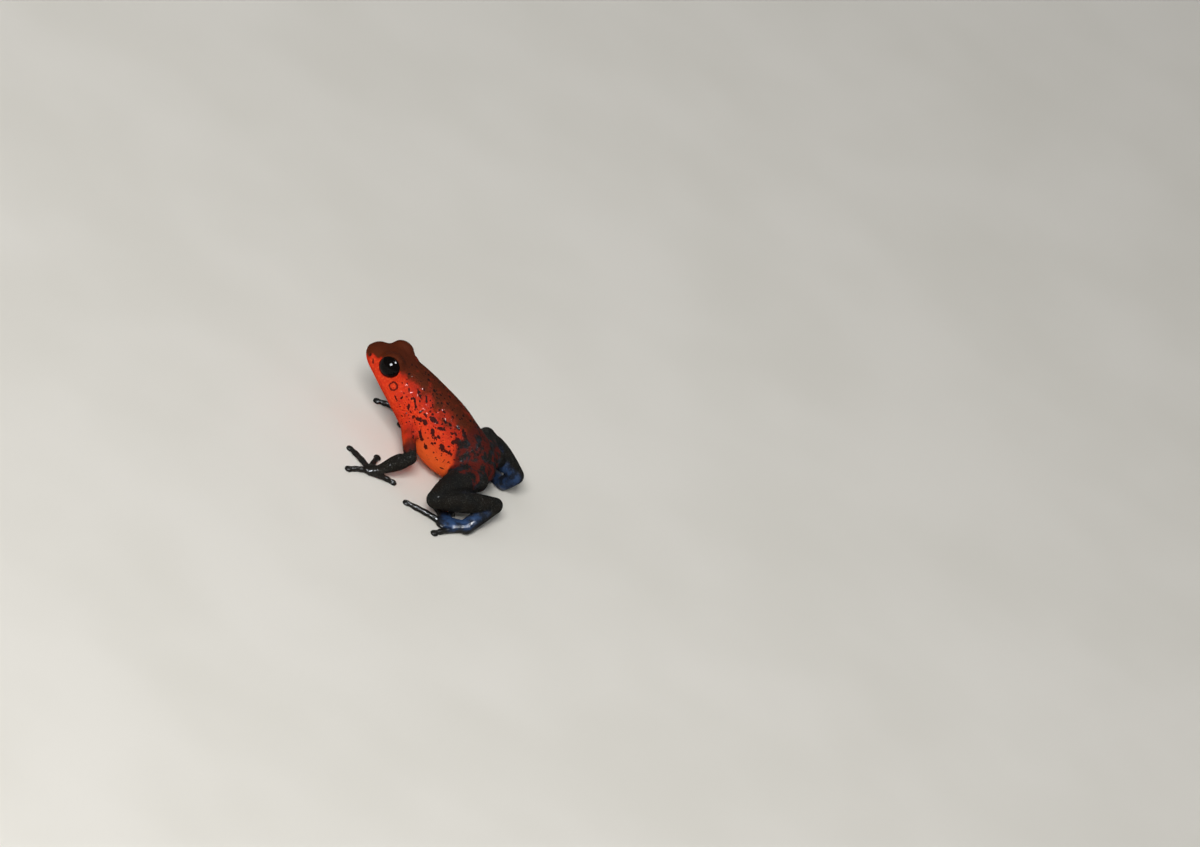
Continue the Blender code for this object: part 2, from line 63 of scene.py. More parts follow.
# The body's long axis and its sections, as in the part: distance forward of the vent, half width,
# back, belly, level of the widest line, squareness of the upper half and of the lower half.
BODY_LENGTH = 22.2
BODY_PITCH = math.radians(15.3)
VENT = (0.0, 9.1, 3.75)
SNOUT_ROUNDING = (1.9, 2.3)
RUMP_ROUNDING = (4.6, 2.2)
BODY_SECTIONS = (
    (0.0, 2.60, 2.20, 2.30, -0.30, 2.0, 2.0),
    (2.0, 3.15, 2.75, 3.10, -0.40, 2.0, 2.0),
    (4.0, 3.65, 3.00, 3.95, -0.60, 2.0, 2.1),
    (6.0, 4.10, 3.15, 4.30, -0.80, 2.1, 2.2),
    (8.0, 4.35, 3.50, 4.25, -0.80, 2.1, 2.2),
    (10.0, 4.35, 3.65, 3.90, -0.70, 2.1, 2.1),
    (12.0, 4.15, 3.65, 3.40, -0.50, 2.1, 2.1),
    (14.0, 3.80, 3.62, 2.70, -0.40, 2.2, 2.1),
    (16.0, 3.62, 3.40, 1.90, -0.30, 2.3, 2.1),
    (17.5, 3.40, 3.10, 1.38, -0.20, 2.4, 2.1),
    (19.0, 3.00, 2.62, 0.92, -0.05, 2.5, 2.1),
    (20.5, 2.45, 2.20, 0.58, 0.15, 2.5, 2.2),
    (22.2, 1.75, 2.00, 0.40, 0.35, 2.4, 2.2),
)

# Places on the head: distance forward of the vent, distance from the midline, height over the axis.
# Here the eye, the way it looks, and the ball of its lids.
EYE = (18.8, 1.93, 1.86)
EYE_RADIUS = 1.5
EYE_GAZE = (0.12, 0.97, 0.06)
LID = (18.8, 1.93, 1.97)
LID_RADIUS = 1.62

# The opening's radius, how far before the eye's middle it is, and the width of its edge. Then the ball
# that dishes the cheek, and where the dish fades: outwards, at the opening and above the eye's middle.
LID_EDGE = (1.40, 0.64)
EDGE_WIDTH = 0.13
SKIN_UNDER_EYE = 0.3
DISH_RADIUS = 2.6
DISH_REACH = 2.55
DISH_FADE = (2.75, 1.9)
DISH_ROUND = (1.9, 1.6)
DISH_BELOW = (0.4, -0.4)
DISH_BACK = -0.3
DISH_SOFTNESS = 0.08

# The upper lid over the eyeball: its thickness and how much it grows away from the gaze, in degrees from
# it, where it ends there, at the sides and outwards, and the fold behind it.
LID_THICKNESS = 0.14
LID_GROWTH = 0.20
LID_GROWTH_TURNS = (64.0, 92.0)
LID_END_TURNS = (98.0, 82.0)
LID_SIDES = (-0.1, 0.5)
LID_FADE = (2.2, 1.9)
LID_FOLD = (88.0, 0.03, 4.0)
LID_SOFTNESS = 0.05

# The head's other balls, the mouth's line, the nostrils, the eardrums and the folds.
TEMPLE = (17.5, 1.95, 1.70)
TEMPLE_RADII = (1.5, 1.4, 1.35)
BROW = (18.6, 0.0, 1.2)
BROW_RADII = (3.0, 1.9, 2.05)
MOUTH_LEVELS = ((15.8, -0.75), (17.5, -0.36), (18.8, -0.18), (20.5, 0.05), (22.2, 0.22))
NOSTRIL = (21.45, 1.30, 0.72)
EARDRUM = (16.9, 0.94)
EARDRUM_RADIUS = 0.48
CHEST_FOLD = ((14.9, -0.75), (14.2, -0.45), (13.5, 0.05), (12.9, 0.4))
ARM_FOLD = ((12.6, 4.0, 0.26), (11.94, 4.25, -0.18), (11.35, 4.68, -0.56), (10.8, 5.25, -0.84))

# What is carved round the mouth's line and round each feature: rows of distance from it, height and width.
MOUTH_CORNER = (15.5, 16.2)
MOUTH_FORMS = ((0.0, -0.13, 0.085), (0.24, 0.05, 0.16), (-0.25, -0.02, 0.18))
CARVED = {
    "nostril": ((0.0, -0.22, 0.13), (0.28, 0.03, 0.10)),
    "eardrum": ((EARDRUM_RADIUS, -0.07, 0.09),),
    "chest": ((0.0, -0.12, 0.11),),
    "arm": ((0.0, -0.09, 0.11), (0.0, -0.12, 0.45)),
}
EARDRUM_DISH = -0.03
EARDRUM_FLAT = 0.2

# The dark lines round the eardrums and the painted shade along the folds at chest and arm, in the same way,
# and the width of the painted shade in the nostrils' pits.
DARK_LINES_AND_FOLD_SHADE = {"eardrum": (EARDRUM_RADIUS, 1.15, 0.15), "chest": (0.0, 0.95, 0.09), "arm": (0.0, 1.5, 0.22)}
PIT_SHADE_WIDTH = 0.19

# How far round each feature, and round the mouth's line ahead of a place, the skin's grid is finer.
FINER = {"eye": 2.1, "nostril": 0.6, "eardrum": 0.8, "chest": 0.4, "arm": 0.3}
FINER_MOUTH = 0.45
FINER_FROM = 15.2

# Joints, ends of palms and soles, and digit tips on the ground, each as if it were on the left.
LEFT = {
    "shoulder": (2.8, -3.45, 6.2),
    "elbow": (7.0, -0.5, 4.1),
    "wrist": (8.2, -2.9, 1.02),
    "palm": (8.5, -4.1, 0.42),
    "fingers": ((4.6, -4.0), (6.3, -7.25), (10.5, -5.95), (7.5, -0.75)),
    "hip": (1.9, 6.7, 4.2),
    "knee": (10.7, 4.9, 3.4),
    "heel": (3.9, 11.1, 3.1),
    "ankle": (8.1, 9.6, 0.8),
    "sole": (9.5, 6.9, 0.42),
    "toes": ((6.2, 7.3), (5.5, 5.8), (6.4, 4.5), (9.8, 2.15), (12.2, 7.0)),
}
RIGHT = {
    "shoulder": (2.8, -3.45, 6.2),
    "elbow": (7.0, -1.1, 3.9),
    "wrist": (7.8, -3.6, 0.9),
    "palm": (8.1, -4.8, 0.42),
    "fingers": ((5.2, -4.1), (6.9, -8.1), (10.6, -7.3), (8.0, -1.0)),
    "hip": (1.9, 6.7, 4.2),
    "knee": (10.1, 5.3, 2.5),
    "heel": (3.4, 11.15, 4.0),
    "ankle": (5.6, 10.2, 0.8),
    "sole": (7.2, 7.7, 0.42),
    "toes": ((4.2, 7.2), (4.0, 5.6), (5.2, 4.2), (9.2, 2.5), (10.4, 8.0)),
}
HANDS = (1.0, -1.0)
SIDES = tuple(zip(HANDS, (LEFT, RIGHT)))

# Share of the way along a segment, half width across and half height.
UPPER_ARM_SECTIONS = ((0.0, 1.15, 1.15), (0.5, 0.88, 0.88), (1.0, 0.80, 0.80))
FOREARM_SECTIONS = ((0.0, 0.82, 0.82), (0.35, 1.00, 0.98), (1.0, 0.66, 0.52))
THIGH_SECTIONS = ((0.0, 1.85, 2.00), (0.35, 1.90, 2.00), (0.75, 1.60, 1.60), (1.0, 1.15, 1.20))
SHANK_SECTIONS = ((0.0, 1.05, 1.15), (0.35, 1.30, 1.38), (0.75, 1.15, 1.25), (1.0, 0.98, 1.08))
TARSUS_SECTIONS = ((0.0, 0.98, 1.02), (0.5, 0.96, 1.00), (1.0, 0.95, 0.80))
PALM_SECTIONS = ((0.0, 0.62, 0.50), (0.5, 0.78, 0.50), (1.0, 0.85, 0.44))
SOLE_SECTIONS = ((0.0, 0.92, 0.74), (0.5, 1.12, 0.62), (1.0, 1.12, 0.46))
BUTTOCK = (3.4, 7.9, 4.4)
BUTTOCK_RADII = (1.55, 1.35, 1.35)

# How far the middle of a segment is from the straight line between its joints.
THIGH_BOW = (0.0, 0.05, -0.15)
SHANK_BOW = (0.0, 0.1, 0.1)
NO_BOW = (0.0, 0.0, 0.0)

# Each segment's name, the joints at its ends, its sections and its bow.
LIMBS = (
    ("upper_arm", "shoulder", "elbow", UPPER_ARM_SECTIONS, NO_BOW),
    ("forearm", "elbow", "wrist", FOREARM_SECTIONS, NO_BOW),
    ("thigh", "hip", "knee", THIGH_SECTIONS, THIGH_BOW),
    ("shank", "knee", "heel", SHANK_SECTIONS, SHANK_BOW),
    ("tarsus", "heel", "ankle", TARSUS_SECTIONS, NO_BOW),
)

# The reach of the rounding at each joint, where limbs and the eyes' bulges meet the body, and on the rump.
JOINT_BLENDS = {"elbow": 0.9, "wrist": 0.7, "knee": 1.1, "heel": 1.0, "ankle": 0.9}
BODY_BLENDS = {"upper_arm": 0.7, "thigh": 0.8}
LID_BLEND = 0.75
BUTTOCK_BLEND = (2.3, 1.5)

# The depth of the crease between segments that fold together, its width, how close both have to be, and
# where it fades at the first one's end and the second one's start.
CREASES = (("thigh", "shank", 0.34), ("upper_arm", "forearm", 0.14), ("shank", "tarsus", 0.2))
CREASE_WIDTH = 0.24
CREASE_CLOSE = (0.75, 0.3)
CREASE_FIRST = (0.99, 0.86)
CREASE_SECOND = (0.01, 0.14)

# Hands and feet: the palm's or sole's ends, the digits' tips, the sections, the digits' radii at base
# and tip, and how far back along the palm the outermost digit leaves it.
PAWS = (
    ("wrist", "palm", "fingers", PALM_SECTIONS, (0.42, 0.34), 0.3),
    ("ankle", "sole", "toes", SOLE_SECTIONS, (0.45, 0.35), 0.6),
)

# How far back along the palm the other digits leave it, their spread as a share of its half width, the
# height of their tips' axis, their radius for the markings, and the length from which one has 3 knuckles.
DIGIT_BACK = 0.2
DIGIT_SPREAD = 0.55
DIGIT_LEVEL = 0.28
DIGIT_REACH = 0.35
LONG_DIGIT = 5.0
LONG_KNUCKLES = (0.3, 0.55, 0.78)
SHORT_KNUCKLES = (0.42, 0.74)
KNUCKLE_WIDTH = 0.07
KNUCKLE_SWELL = 0.12
KNUCKLE_HEIGHT = 0.22
DIGIT_SHAFT = 0.94
DIGIT_WAIST = (0.9, 0.12, 0.05)
DISC_RADII = (0.50, 0.52, 0.29)
DISC_LEVEL = 0.20
DISC_AHEAD = 0.05

# Larger black marks on the flank: distance forward of the vent, turn from the left side upwards and
# heading from forwards round, in degrees, then half length and half width.
MARKS = (
    (13.8, 14, 54, 0.47, 0.16),
    (13.6, 27, 29, 0.84, 0.12),
    (13.1, 11, 15, 0.32, 0.11),
    (13.0, 48, 43, 0.60, 0.11),
    (12.4, 27, 102, 0.66, 0.13),
    (11.9, 16, 154, 0.69, 0.28),
    (11.1, 21, 15, 0.45, 0.30),
    (11.7, 29, 10, 0.29, 0.14),
    (10.6, 35, 165, 0.72, 0.32),
    (11.9, 49, 24, 0.31, 0.12),
    (9.2, 35, 146, 0.70, 0.21),
    (9.7, 21, 36, 0.48, 0.27),
    (10.3, 2, 27, 0.73, 0.21),
    (8.9, -4, 31, 0.44, 0.23),
    (8.6, 8, 168, 0.29, 0.18),
    (7.5, 16, 28, 0.57, 0.30),
    (6.5, 17, 167, 0.71, 0.21),
    (6.5, 43, 170, 0.76, 0.49),
    (15.6, 6, 18, 0.43, 0.12),
    (15.2, 15, 93, 0.27, 0.12),
    (15.3, 35, 35, 0.30, 0.12),
    (14.3, 45, 35, 0.46, 0.12),
    (16.6, 60, 120, 0.38, 0.11),
    (17.1, 86, 66, 0.36, 0.10),
    (16.5, 35, 19, 0.16, 0.10),
    (16.0, 42, 174, 0.14, 0.10),
    (20.7, 11, 35, 0.35, 0.11),
    (5.5, -15, 160, 0.28, 0.14),
    (7.9, 43, 164, 0.32, 0.20),
    (9.4, 48, 169, 0.29, 0.18),
    (10.4, 57, 168, 0.27, 0.16),
    (8.8, 51, 6, 0.34, 0.18),
    (8.7, 23, 7, 0.28, 0.16),
    (13.4, 36, 21, 0.21, 0.11),
    (14.3, 27, 23, 0.20, 0.10),
    (11.6, 39, 174, 0.20, 0.11),
    (9.2, 64, 8, 0.23, 0.14),
    (7.8, 58, 162, 0.37, 0.23),
    (6.6, 59, 13, 0.45, 0.32),
    (7.5, 48, 11, 0.27, 0.18),
    (12.2, 66, 177, 0.22, 0.11),
    (14.0, 57, 23, 0.19, 0.10),
    (10.8, 74, 176, 0.22, 0.11),
    (12.5, 12, 167, 0.26, 0.16),
    (7.0, 34, 10, 0.29, 0.18),
    (7.0, 25, 166, 0.21, 0.14),
    (7.7, 0, 162, 0.18, 0.11),
)

# How far the right side's marks are moved from the left side's, forward, in turn and in heading, and how
# far a mark's field reaches past its end.
MARK_SCATTER = (0.8, 9, 40)
MARK_REACH = 1.2

# The photograph's view: the directions in it of image right, image up and towards the viewer, its
# scale in pixels a millimetre, and the pixel of a point under the vent on the ground.
VIEW_AXES = ((-0.286, 0.838, 0.464), (-0.404, -0.545, 0.735), (0.869, 0.023, 0.494))
VIEW_SCALE = 8.248
VIEW_POINT = (0.0, 8.1, 0.0)
VIEW_PIXEL = (471.34, 498.06)
PHOTO_SIZE = (1200, 847)
CAMERA_DISTANCE = 1600.0
SENSOR = 36.0

# Each light's name, way from the frog, distance, size, power, colour, and whether it lights matt things
# or only shines in wet ones.
LIGHTS = (
    ("key", (0.016, 0.193, 0.98), 0.9, 0.26, 7.2, (1.0, 0.98, 0.94), True),
    ("front_glint", (0.016, 0.193, 0.98), 0.81, 0.33, 30.0, (0.9, 0.95, 1.0), False),
    ("side_glint", (0.65, 0.45, 0.61), 0.9, 0.26, 20.0, (0.9, 0.95, 1.0), False),
)
LIGHTS_AIM = np.array((0, 0, 0.006))
FILL_PLACE = np.array((0.3, -0.5, 0.8))
FILL_LIGHT = (0.9, 1.1, (0.99, 0.99, 1.0))
SKY_COLOUR = (0.93, 0.92, 0.88, 1)
SKY_STRENGTH = 0.16

# Rings and sides of the balls on the head and of the eyeballs, and points along a limb or a digit.
BALL_GRID = (40, 60)
EYEBALL_GRID = (60, 90)
PATH_POINTS = 40
COARSE_PATH_POINTS = 9

# Rounds of smoothing: all over, where pieces join the body, where segments join, after the creases and on
# the finer head. Then a round's step there and back.
FIRST_ROUNDS = 6
BODY_ROUNDS = 70
JOINT_ROUNDS = 25
CREASE_ROUNDS = 3
HEAD_ROUNDS = 4
SMOOTH_STEP = 0.5
BACK_STEP = 0.52

SEED = 7


# Curves, distances and closed pieces of flesh.


def bell(distance, width):
    """A bell curve of a distance: e to the minus square of its share of the width."""
    return np.exp(-((distance / width) ** 2))


def bells(distance, *forms):
    """The sum of bell curves, each given by its place, its height and its width."""
    return sum(height * bell(distance - place, width) for place, height, width in forms)


def excess(value, softness):
    """How far a value is over 0, with a soft corner: the softness times the log of 1 plus e to their
    ratio."""
    return softness * np.logaddexp(0, value / softness)


def ramp(value, low, high):
    """0 below low, 1 above high, and between them three squares less two cubes of the share."""
    u = np.clip((value - low) / (high - low), 0, 1)
    return u * u * (3 - 2 * u)


def away(points, place):
    """How far points are from a place."""
    return np.linalg.norm(points - place, axis=1)


def unit(way):
    """A direction of length 1."""
    return way / np.linalg.norm(way)


def smooth_rows(rows, places):
    """Cubic pieces through rows of (place, values). Each slope comes from the rows on both sides."""
    rows = np.asarray(rows, float)
    places = np.asarray(places, float)
    at, values = rows[:, 0], rows[:, 1:]
    slopes = np.gradient(values, at, axis=0)
    piece = np.clip(np.searchsorted(at, places, side="right") - 1, 0, len(at) - 2)
    span = (at[piece + 1] - at[piece])[:, None]
    u = (places - at[piece])[:, None] / span
    start = (1 + 2 * u) * (1 - u) ** 2 * values[piece] + u * (1 - u) ** 2 * span * slopes[piece]
    end = u**2 * (3 - 2 * u) * values[piece + 1] + u**2 * (u - 1) * span * slopes[piece + 1]
    return start + end


def on_body(forward, side, height):
    """The place of a point given along, beside and above the body's axis, which rises by its pitch."""
    y = VENT[1] - forward * math.cos(BODY_PITCH) + height * math.sin(BODY_PITCH)
    z = VENT[2] + forward * math.sin(BODY_PITCH) + height * math.cos(BODY_PITCH)
    return np.stack(np.broadcast_arrays(VENT[0] + side, y, z), axis=-1).astype(float)


def from_body(points):
    """The reverse of on_body: distance forward, distance to the left and height over the axis."""
    back, up = points[:, 1] - VENT[1], points[:, 2] - VENT[2]
    forward = -back * math.cos(BODY_PITCH) + up * math.sin(BODY_PITCH)
    height = back * math.sin(BODY_PITCH) + up * math.cos(BODY_PITCH)
    return forward, points[:, 0] - VENT[0], height


def end_rounding(forward):
    """The share of its full section that the body has near its ends, which close like superellipses."""
    share = np.ones_like(forward)
    for length, power, reach in (
        (*SNOUT_ROUNDING, forward - (BODY_LENGTH - SNOUT_ROUNDING[0])),
        (*RUMP_ROUNDING, RUMP_ROUNDING[0] - forward),
    ):
        depth = np.clip(reach / length, 0, 1)
        share = share * (1 - depth**power) ** (1 / power)
    return share


def body_outline(forward, turn):
    """Side and height on the superellipse of the body's section, at a turn from its left side upwards."""
    width, back, belly, level, upper, lower = smooth_rows(BODY_SECTIONS, forward).T
    share = end_rounding(forward)
    across, rise = np.cos(turn), np.sin(turn)
    power = np.where(rise > 0, upper, lower)
    reach = np.where(rise > 0, back - level, belly + level) * share
    side = np.sign(across) * np.abs(across) ** (2 / power) * width * share
    return side, level + np.sign(rise) * np.abs(rise) ** (2 / power) * reach


def side_at(forward, height):
    """Half the body's width at a height over the axis, on the superellipse of its section."""
    width, back, belly, level, upper, lower = smooth_rows(BODY_SECTIONS, [forward])[0]
    share = end_rounding(np.array([float(forward)]))[0]
    power = upper if height > level else lower
    reach = (back - level if height > level else belly + level) * share
    rise = min(1.0, abs(height - level) / reach)
    return width * share * (1 - rise**power) ** (1 / power)


def body_depth(points):
    """About how far outside the body's own surface points are, in millimetres, below zero inside it: how
    much larger the superellipse through a point is than the section, joined to the distance past an end."""
    forward, side, height = from_body(points)
    held = np.clip(forward, 0.02, BODY_LENGTH - 0.02)
    width, back, belly, level, upper, lower = smooth_rows(BODY_SECTIONS, held).T
    share = np.maximum(end_rounding(held), 0.05)
    rise = height - level
    reach = np.where(rise > 0, back - level, belly + level) * share
    power = np.where(rise > 0, upper, lower)
    ratio = ((np.abs(side) / (width * share)) ** power + (np.abs(rise) / reach) ** power) ** (1 / power)
    depth = (ratio - 1) * np.minimum(width * share, reach)
    return np.hypot(depth * (ratio > 1), np.abs(forward - held)) + np.minimum(0, depth)


def grid_faces(count, sides):
    """Quads between rings of equal count, then fans to one point before and one after them."""
    ring = np.arange(count - 1)[:, None] * sides
    around = np.arange(sides)[None, :]
    after = (around + 1) % sides
    corners = ring + around, ring + after, ring + sides + after, ring + sides + around
    quads = np.stack(np.broadcast_arrays(*corners), -1).reshape(-1, 4)
    end = (count - 1) * sides
    a, b = around[0], after[0]
    first = np.stack([np.full(sides, count * sides), b, a], -1)
    last = np.stack([np.full(sides, count * sides + 1), end + a, end + b], -1)
    return quads, np.concatenate([first, last])


def loft(rings, first, last):
    """Points and faces of a closed surface through rings, facing outwards."""
    count, sides = rings.shape[:2]
    points = np.concatenate([rings.reshape(-1, 3), [first, last]])
    quads, fans = grid_faces(count, sides)
    middle = points.mean(axis=0)
    corner = points[quads]
    across = np.cross(corner[:, 1] - corner[:, 0], corner[:, 3] - corner[:, 0])
    if (across * (corner.mean(axis=1) - middle)).sum() < 0:
        quads, fans = quads[:, ::-1], fans[:, ::-1]
    return points, [quads, fans]


def body_loft(rings=150, sides=120):
    """The body from vent to snout: sections from body_outline, crowded where its ends close fastest."""
    forward = BODY_LENGTH * (0.5 - 0.5 * np.cos(np.linspace(0, math.pi, rings + 2)[1:-1]))
    turn = np.linspace(0, 2 * math.pi, sides, endpoint=False)
    grid_forward, grid_turn = (grid.ravel() for grid in np.meshgrid(forward, turn, indexing="ij"))
    side, height = body_outline(grid_forward, grid_turn)
    surface = on_body(grid_forward, side, height).reshape(rings, sides, 3)
    return loft(surface, on_body(0, 0, BODY_SECTIONS[0][4]), on_body(BODY_LENGTH, 0, BODY_SECTIONS[-1][4]))


def tube(centres, across, upright, sides=32, caps=8):
    """A tube of elliptical rings square to a path, closed at each end by half an ellipsoid."""
    ahead = np.gradient(centres, axis=0)
    ahead /= np.linalg.norm(ahead, axis=1, keepdims=True)
    turn = np.arange(caps, 0, -1) * (math.pi / 2 / (caps + 1))
    reach = (across + upright) / 2
    first = centres[0] - np.outer(np.sin(turn), ahead[0]) * reach[0]
    last = centres[-1] + np.outer(np.sin(turn[::-1]), ahead[-1]) * reach[-1]
    middle = np.concatenate([first, centres, last])
    shrink = np.concatenate([np.cos(turn), np.ones(len(centres)), np.cos(turn[::-1])])
    keep = np.clip(np.arange(len(middle)) - caps, 0, len(centres) - 1)
    side_way = np.cross(ahead[keep], (0, 0, 1))
    side_way /= np.linalg.norm(side_way, axis=1, keepdims=True)
    up_way = np.cross(side_way, ahead[keep])
    spin = np.linspace(0, 2 * math.pi, sides, endpoint=False)[None, :, None]
    rings = (
        middle[:, None]
        + (across[keep] * shrink)[:, None, None] * np.cos(spin) * side_way[:, None]
        + (upright[keep] * shrink)[:, None, None] * np.sin(spin) * up_way[:, None]
    )
    return loft(rings, centres[0] - ahead[0] * reach[0], centres[-1] + ahead[-1] * reach[-1])


def limb_path(start, end, bow, count=PATH_POINTS):
    """Points between two joints on a half sine bow."""
    along = np.linspace(0, 1, count)
    return np.outer(1 - along, start) + np.outer(along, end) + np.outer(np.sin(math.pi * along), bow)


def limb(start, end, sections, bow=NO_BOW):
    """A limb segment: a tube whose half widths follow its sections."""
    across, upright = smooth_rows(sections, np.linspace(0, 1, PATH_POINTS)).T
    return tube(limb_path(start, end, bow), across, upright)


def ellipsoid(centre, radii, rings=24, sides=36, axes=((1, 0, 0), (0, 1, 0), (0, 0, 1))):
    """An ellipsoid of these radii along three directions, from its polar angle and its turn."""
    fall = np.linspace(0, math.pi, rings + 2)[1:-1, None]
    turn = np.linspace(0, 2 * math.pi, sides, endpoint=False)[None, :]
    sphere = np.sin(fall) * np.cos(turn), np.sin(fall) * np.sin(turn), np.cos(fall)
    stretch = np.array(radii)[:, None] * np.array(axes, float)
    points = np.array(centre) + np.stack(np.broadcast_arrays(*sphere), -1) @ stretch
    return loft(points, centre + stretch[2], centre - stretch[2])


def mirrored(point, hand):
    """A place or places on the frog's left, or the same on its right."""
    return np.array(point, float) * (hand, 1, 1)


def head_place(place, hand):
    """A place on one side, from its distances forward and from the midline and its height over the axis."""
    forward, side, height = place
    return on_body(forward, hand * side, height)


def on_outline(forward, height, hand):
    """A place on the body's own outline on one side, from its distance forward and its height."""
    return on_body(forward, hand * side_at(forward, height), height)


def nostril_place(hand):
    """Where a nostril opens."""
    return on_outline(NOSTRIL[0], NOSTRIL[2], hand)


def mouth_level(forward):
    """The height of the mouth's line."""
    return smooth_rows(MOUTH_LEVELS, np.clip(forward, MOUTH_LEVELS[0][0], MOUTH_LEVELS[-1][0]))[:, 0]


def gaze(hand):
    """The direction in which an eye looks."""
    return unit(head_place(EYE_GAZE, hand) - on_body(0, 0, 0))


def digit_path(base, tip, along):
    """From the palm to the digit's tip: straight seen from above, and arched by a squared half sine."""
    centres = np.outer(1 - along, base) + np.outer(along, (*tip, DIGIT_LEVEL))
    centres[:, 2] += KNUCKLE_HEIGHT * 0.5 * np.sin(math.pi * along) ** 2
    return centres


def digit(base, tip, radii, joints):
    """A digit: it tapers as the square root of the way, with a soft swelling at each joint."""
    along = np.linspace(0, 1, PATH_POINTS)
    taper = radii[0] + (radii[1] - radii[0]) * np.sqrt(along)
    swell = bell(along[:, None] - np.array(joints), KNUCKLE_WIDTH).sum(axis=1)
    radius = taper * (DIGIT_SHAFT + KNUCKLE_SWELL * swell - bells(along, DIGIT_WAIST))
    return tube(digit_path(base, tip, along), radius, radius, sides=20)


def digit_ends(joints, hand, start, end, tips, sections, outer_back):
    """Base and tip of each digit: bases side by side across the palm's end, the outermost further back."""
    start, end, tips = np.array(joints[start]), np.array(joints[end]), joints[tips]
    ahead = (end - start) * (1, 1, 0)
    outwards = np.array((-ahead[1], ahead[0], 0)) / np.linalg.norm(ahead)
    back = np.full((len(tips), 1), DIGIT_BACK)
    back[-1] = outer_back
    spread = sections[-1][1] * DIGIT_SPREAD
    bases = end + (start - end) * back + outwards * np.linspace(-1, 1, len(tips))[:, None] * spread
    bases[:, 2] = end[2]
    return [(mirrored(base, hand), mirrored((*tip, 0), hand)) for base, tip in zip(bases, tips)]


def paw_pieces(joints, hand, start, end, tips, sections, radii, outer_back):
    """Palm or sole, digits and discs of one hand or foot."""
    pieces = [limb(mirrored(joints[start], hand), mirrored(joints[end], hand), sections)]
    for base, tip in digit_ends(joints, hand, start, end, tips, sections, outer_back):
        way = unit((tip - base) * (1, 1, 0))
        side = np.array((-way[1], way[0], 0))
        knuckles = LONG_KNUCKLES if np.linalg.norm(tip - base) > LONG_DIGIT else SHORT_KNUCKLES
        pieces.append(digit(base, tip[:2], radii, knuckles))
        centre = np.array((tip[0], tip[1], DISC_LEVEL)) + way * DISC_AHEAD
        pieces.append(ellipsoid(centre, DISC_RADII, axes=(side, way, (0, 0, 1))))
    return pieces


def flesh_pieces():
    """Every closed tube and ellipsoid that the skin is fused from."""
    pieces = [body_loft(), ellipsoid(head_place(BROW, 1), BROW_RADII, *BALL_GRID)]
    for hand, joints in SIDES:
        pieces.append(ellipsoid(head_place(LID, hand), (LID_RADIUS,) * 3, *BALL_GRID))
        pieces.append(ellipsoid(head_place(TEMPLE, hand), TEMPLE_RADII, *BALL_GRID))
        for name, start, end, sections, bow in LIMBS:
            pieces.append(limb(mirrored(joints[start], hand), mirrored(joints[end], hand), sections, bow))
            if name == "thigh":
                pieces.append(ellipsoid(mirrored(BUTTOCK, hand), BUTTOCK_RADII))
        for paw in PAWS:
            pieces += paw_pieces(joints, hand, *paw)
    return pieces


# Meshes.


def raw_mesh(name, points, faces):
    """A mesh from points and arrays of faces, with no change of unit."""
    mesh = bpy.data.meshes.new(name)
    mesh.from_pydata(points, [], [face for block in faces for face in block.tolist()])
    mesh.update()
    return mesh


def put_in_scene(name, data):
    """A new object that holds a mesh, a light or a camera."""
    obj = bpy.data.objects.new(name, data)
    bpy.context.scene.collection.objects.link(obj)
    return obj


def read_all(items, key, width=3, kind=float):
    """One value of each of a mesh's points, edges or triangles, as the rows of an array."""
    values = np.empty(len(items) * width, kind)
    items.foreach_get(key, values)
    return values.reshape(-1, width)


def fused(pieces, voxel):
    """One closed quad surface round overlapping closed pieces, by voxel remeshing, in millimetres."""
    points, faces, offset = [], [], 0
    for piece_points, piece_faces in pieces:
        points.append(piece_points)
        faces += [block + offset for block in piece_faces]
        offset += len(piece_points)
    mesh = raw_mesh("flesh", np.concatenate(points), faces)
    obj = put_in_scene("flesh", mesh)
    change = obj.modifiers.new("fuse", "REMESH")
    change.mode = "VOXEL"
    change.voxel_size = voxel
    made = bpy.data.meshes.new_from_object(obj.evaluated_get(bpy.context.evaluated_depsgraph_get()))
    bpy.data.objects.remove(obj)
    bpy.data.meshes.remove(mesh)
    return made


class Surface:
    """A mesh held as arrays, for moves that work on all its points at once."""

    def __init__(self, mesh):
        self.mesh = mesh
        self.count = len(mesh.vertices)
        self.points = read_all(mesh.vertices, "co")
        self.edges = read_all(mesh.edges, "vertices", 2, int)
        self.degree = np.bincount(self.edges.ravel(), minlength=self.count).astype(float)

    def around(self, values):
        """The mean of a field over each point's neighbours."""
        (a, b), count = self.edges.T, self.count
        total = [np.bincount(a, row[b], count) + np.bincount(b, row[a], count) for row in values.T]
        return np.stack(total, -1) / self.degree[:, None]

    def smooth(self, rounds, weight=1.0, keep_volume=True):
        """Moves points towards their neighbours' mean, then a little more back, so that thin parts keep."""
        weight = np.broadcast_to(weight, (self.count,))[:, None]
        for _ in range(rounds):
            self.points = self.points + SMOOTH_STEP * weight * (self.around(self.points) - self.points)
            if keep_volume:
                self.points = self.points - BACK_STEP * weight * (self.around(self.points) - self.points)

    def soften(self, field, rounds):
        """A field on the points, averaged over neighbours several times."""
        values = field[:, None]
        for _ in range(rounds):
            values = 0.5 * values + 0.5 * self.around(values)
        return values[:, 0]

    def normals(self):
        """Unit normals at the points."""
        self.store()
        return read_all(self.mesh.vertices, "normal")

    def store(self):
        """Puts the points back into the mesh."""
        self.mesh.vertices.foreach_set("co", self.points.ravel())
        self.mesh.update()


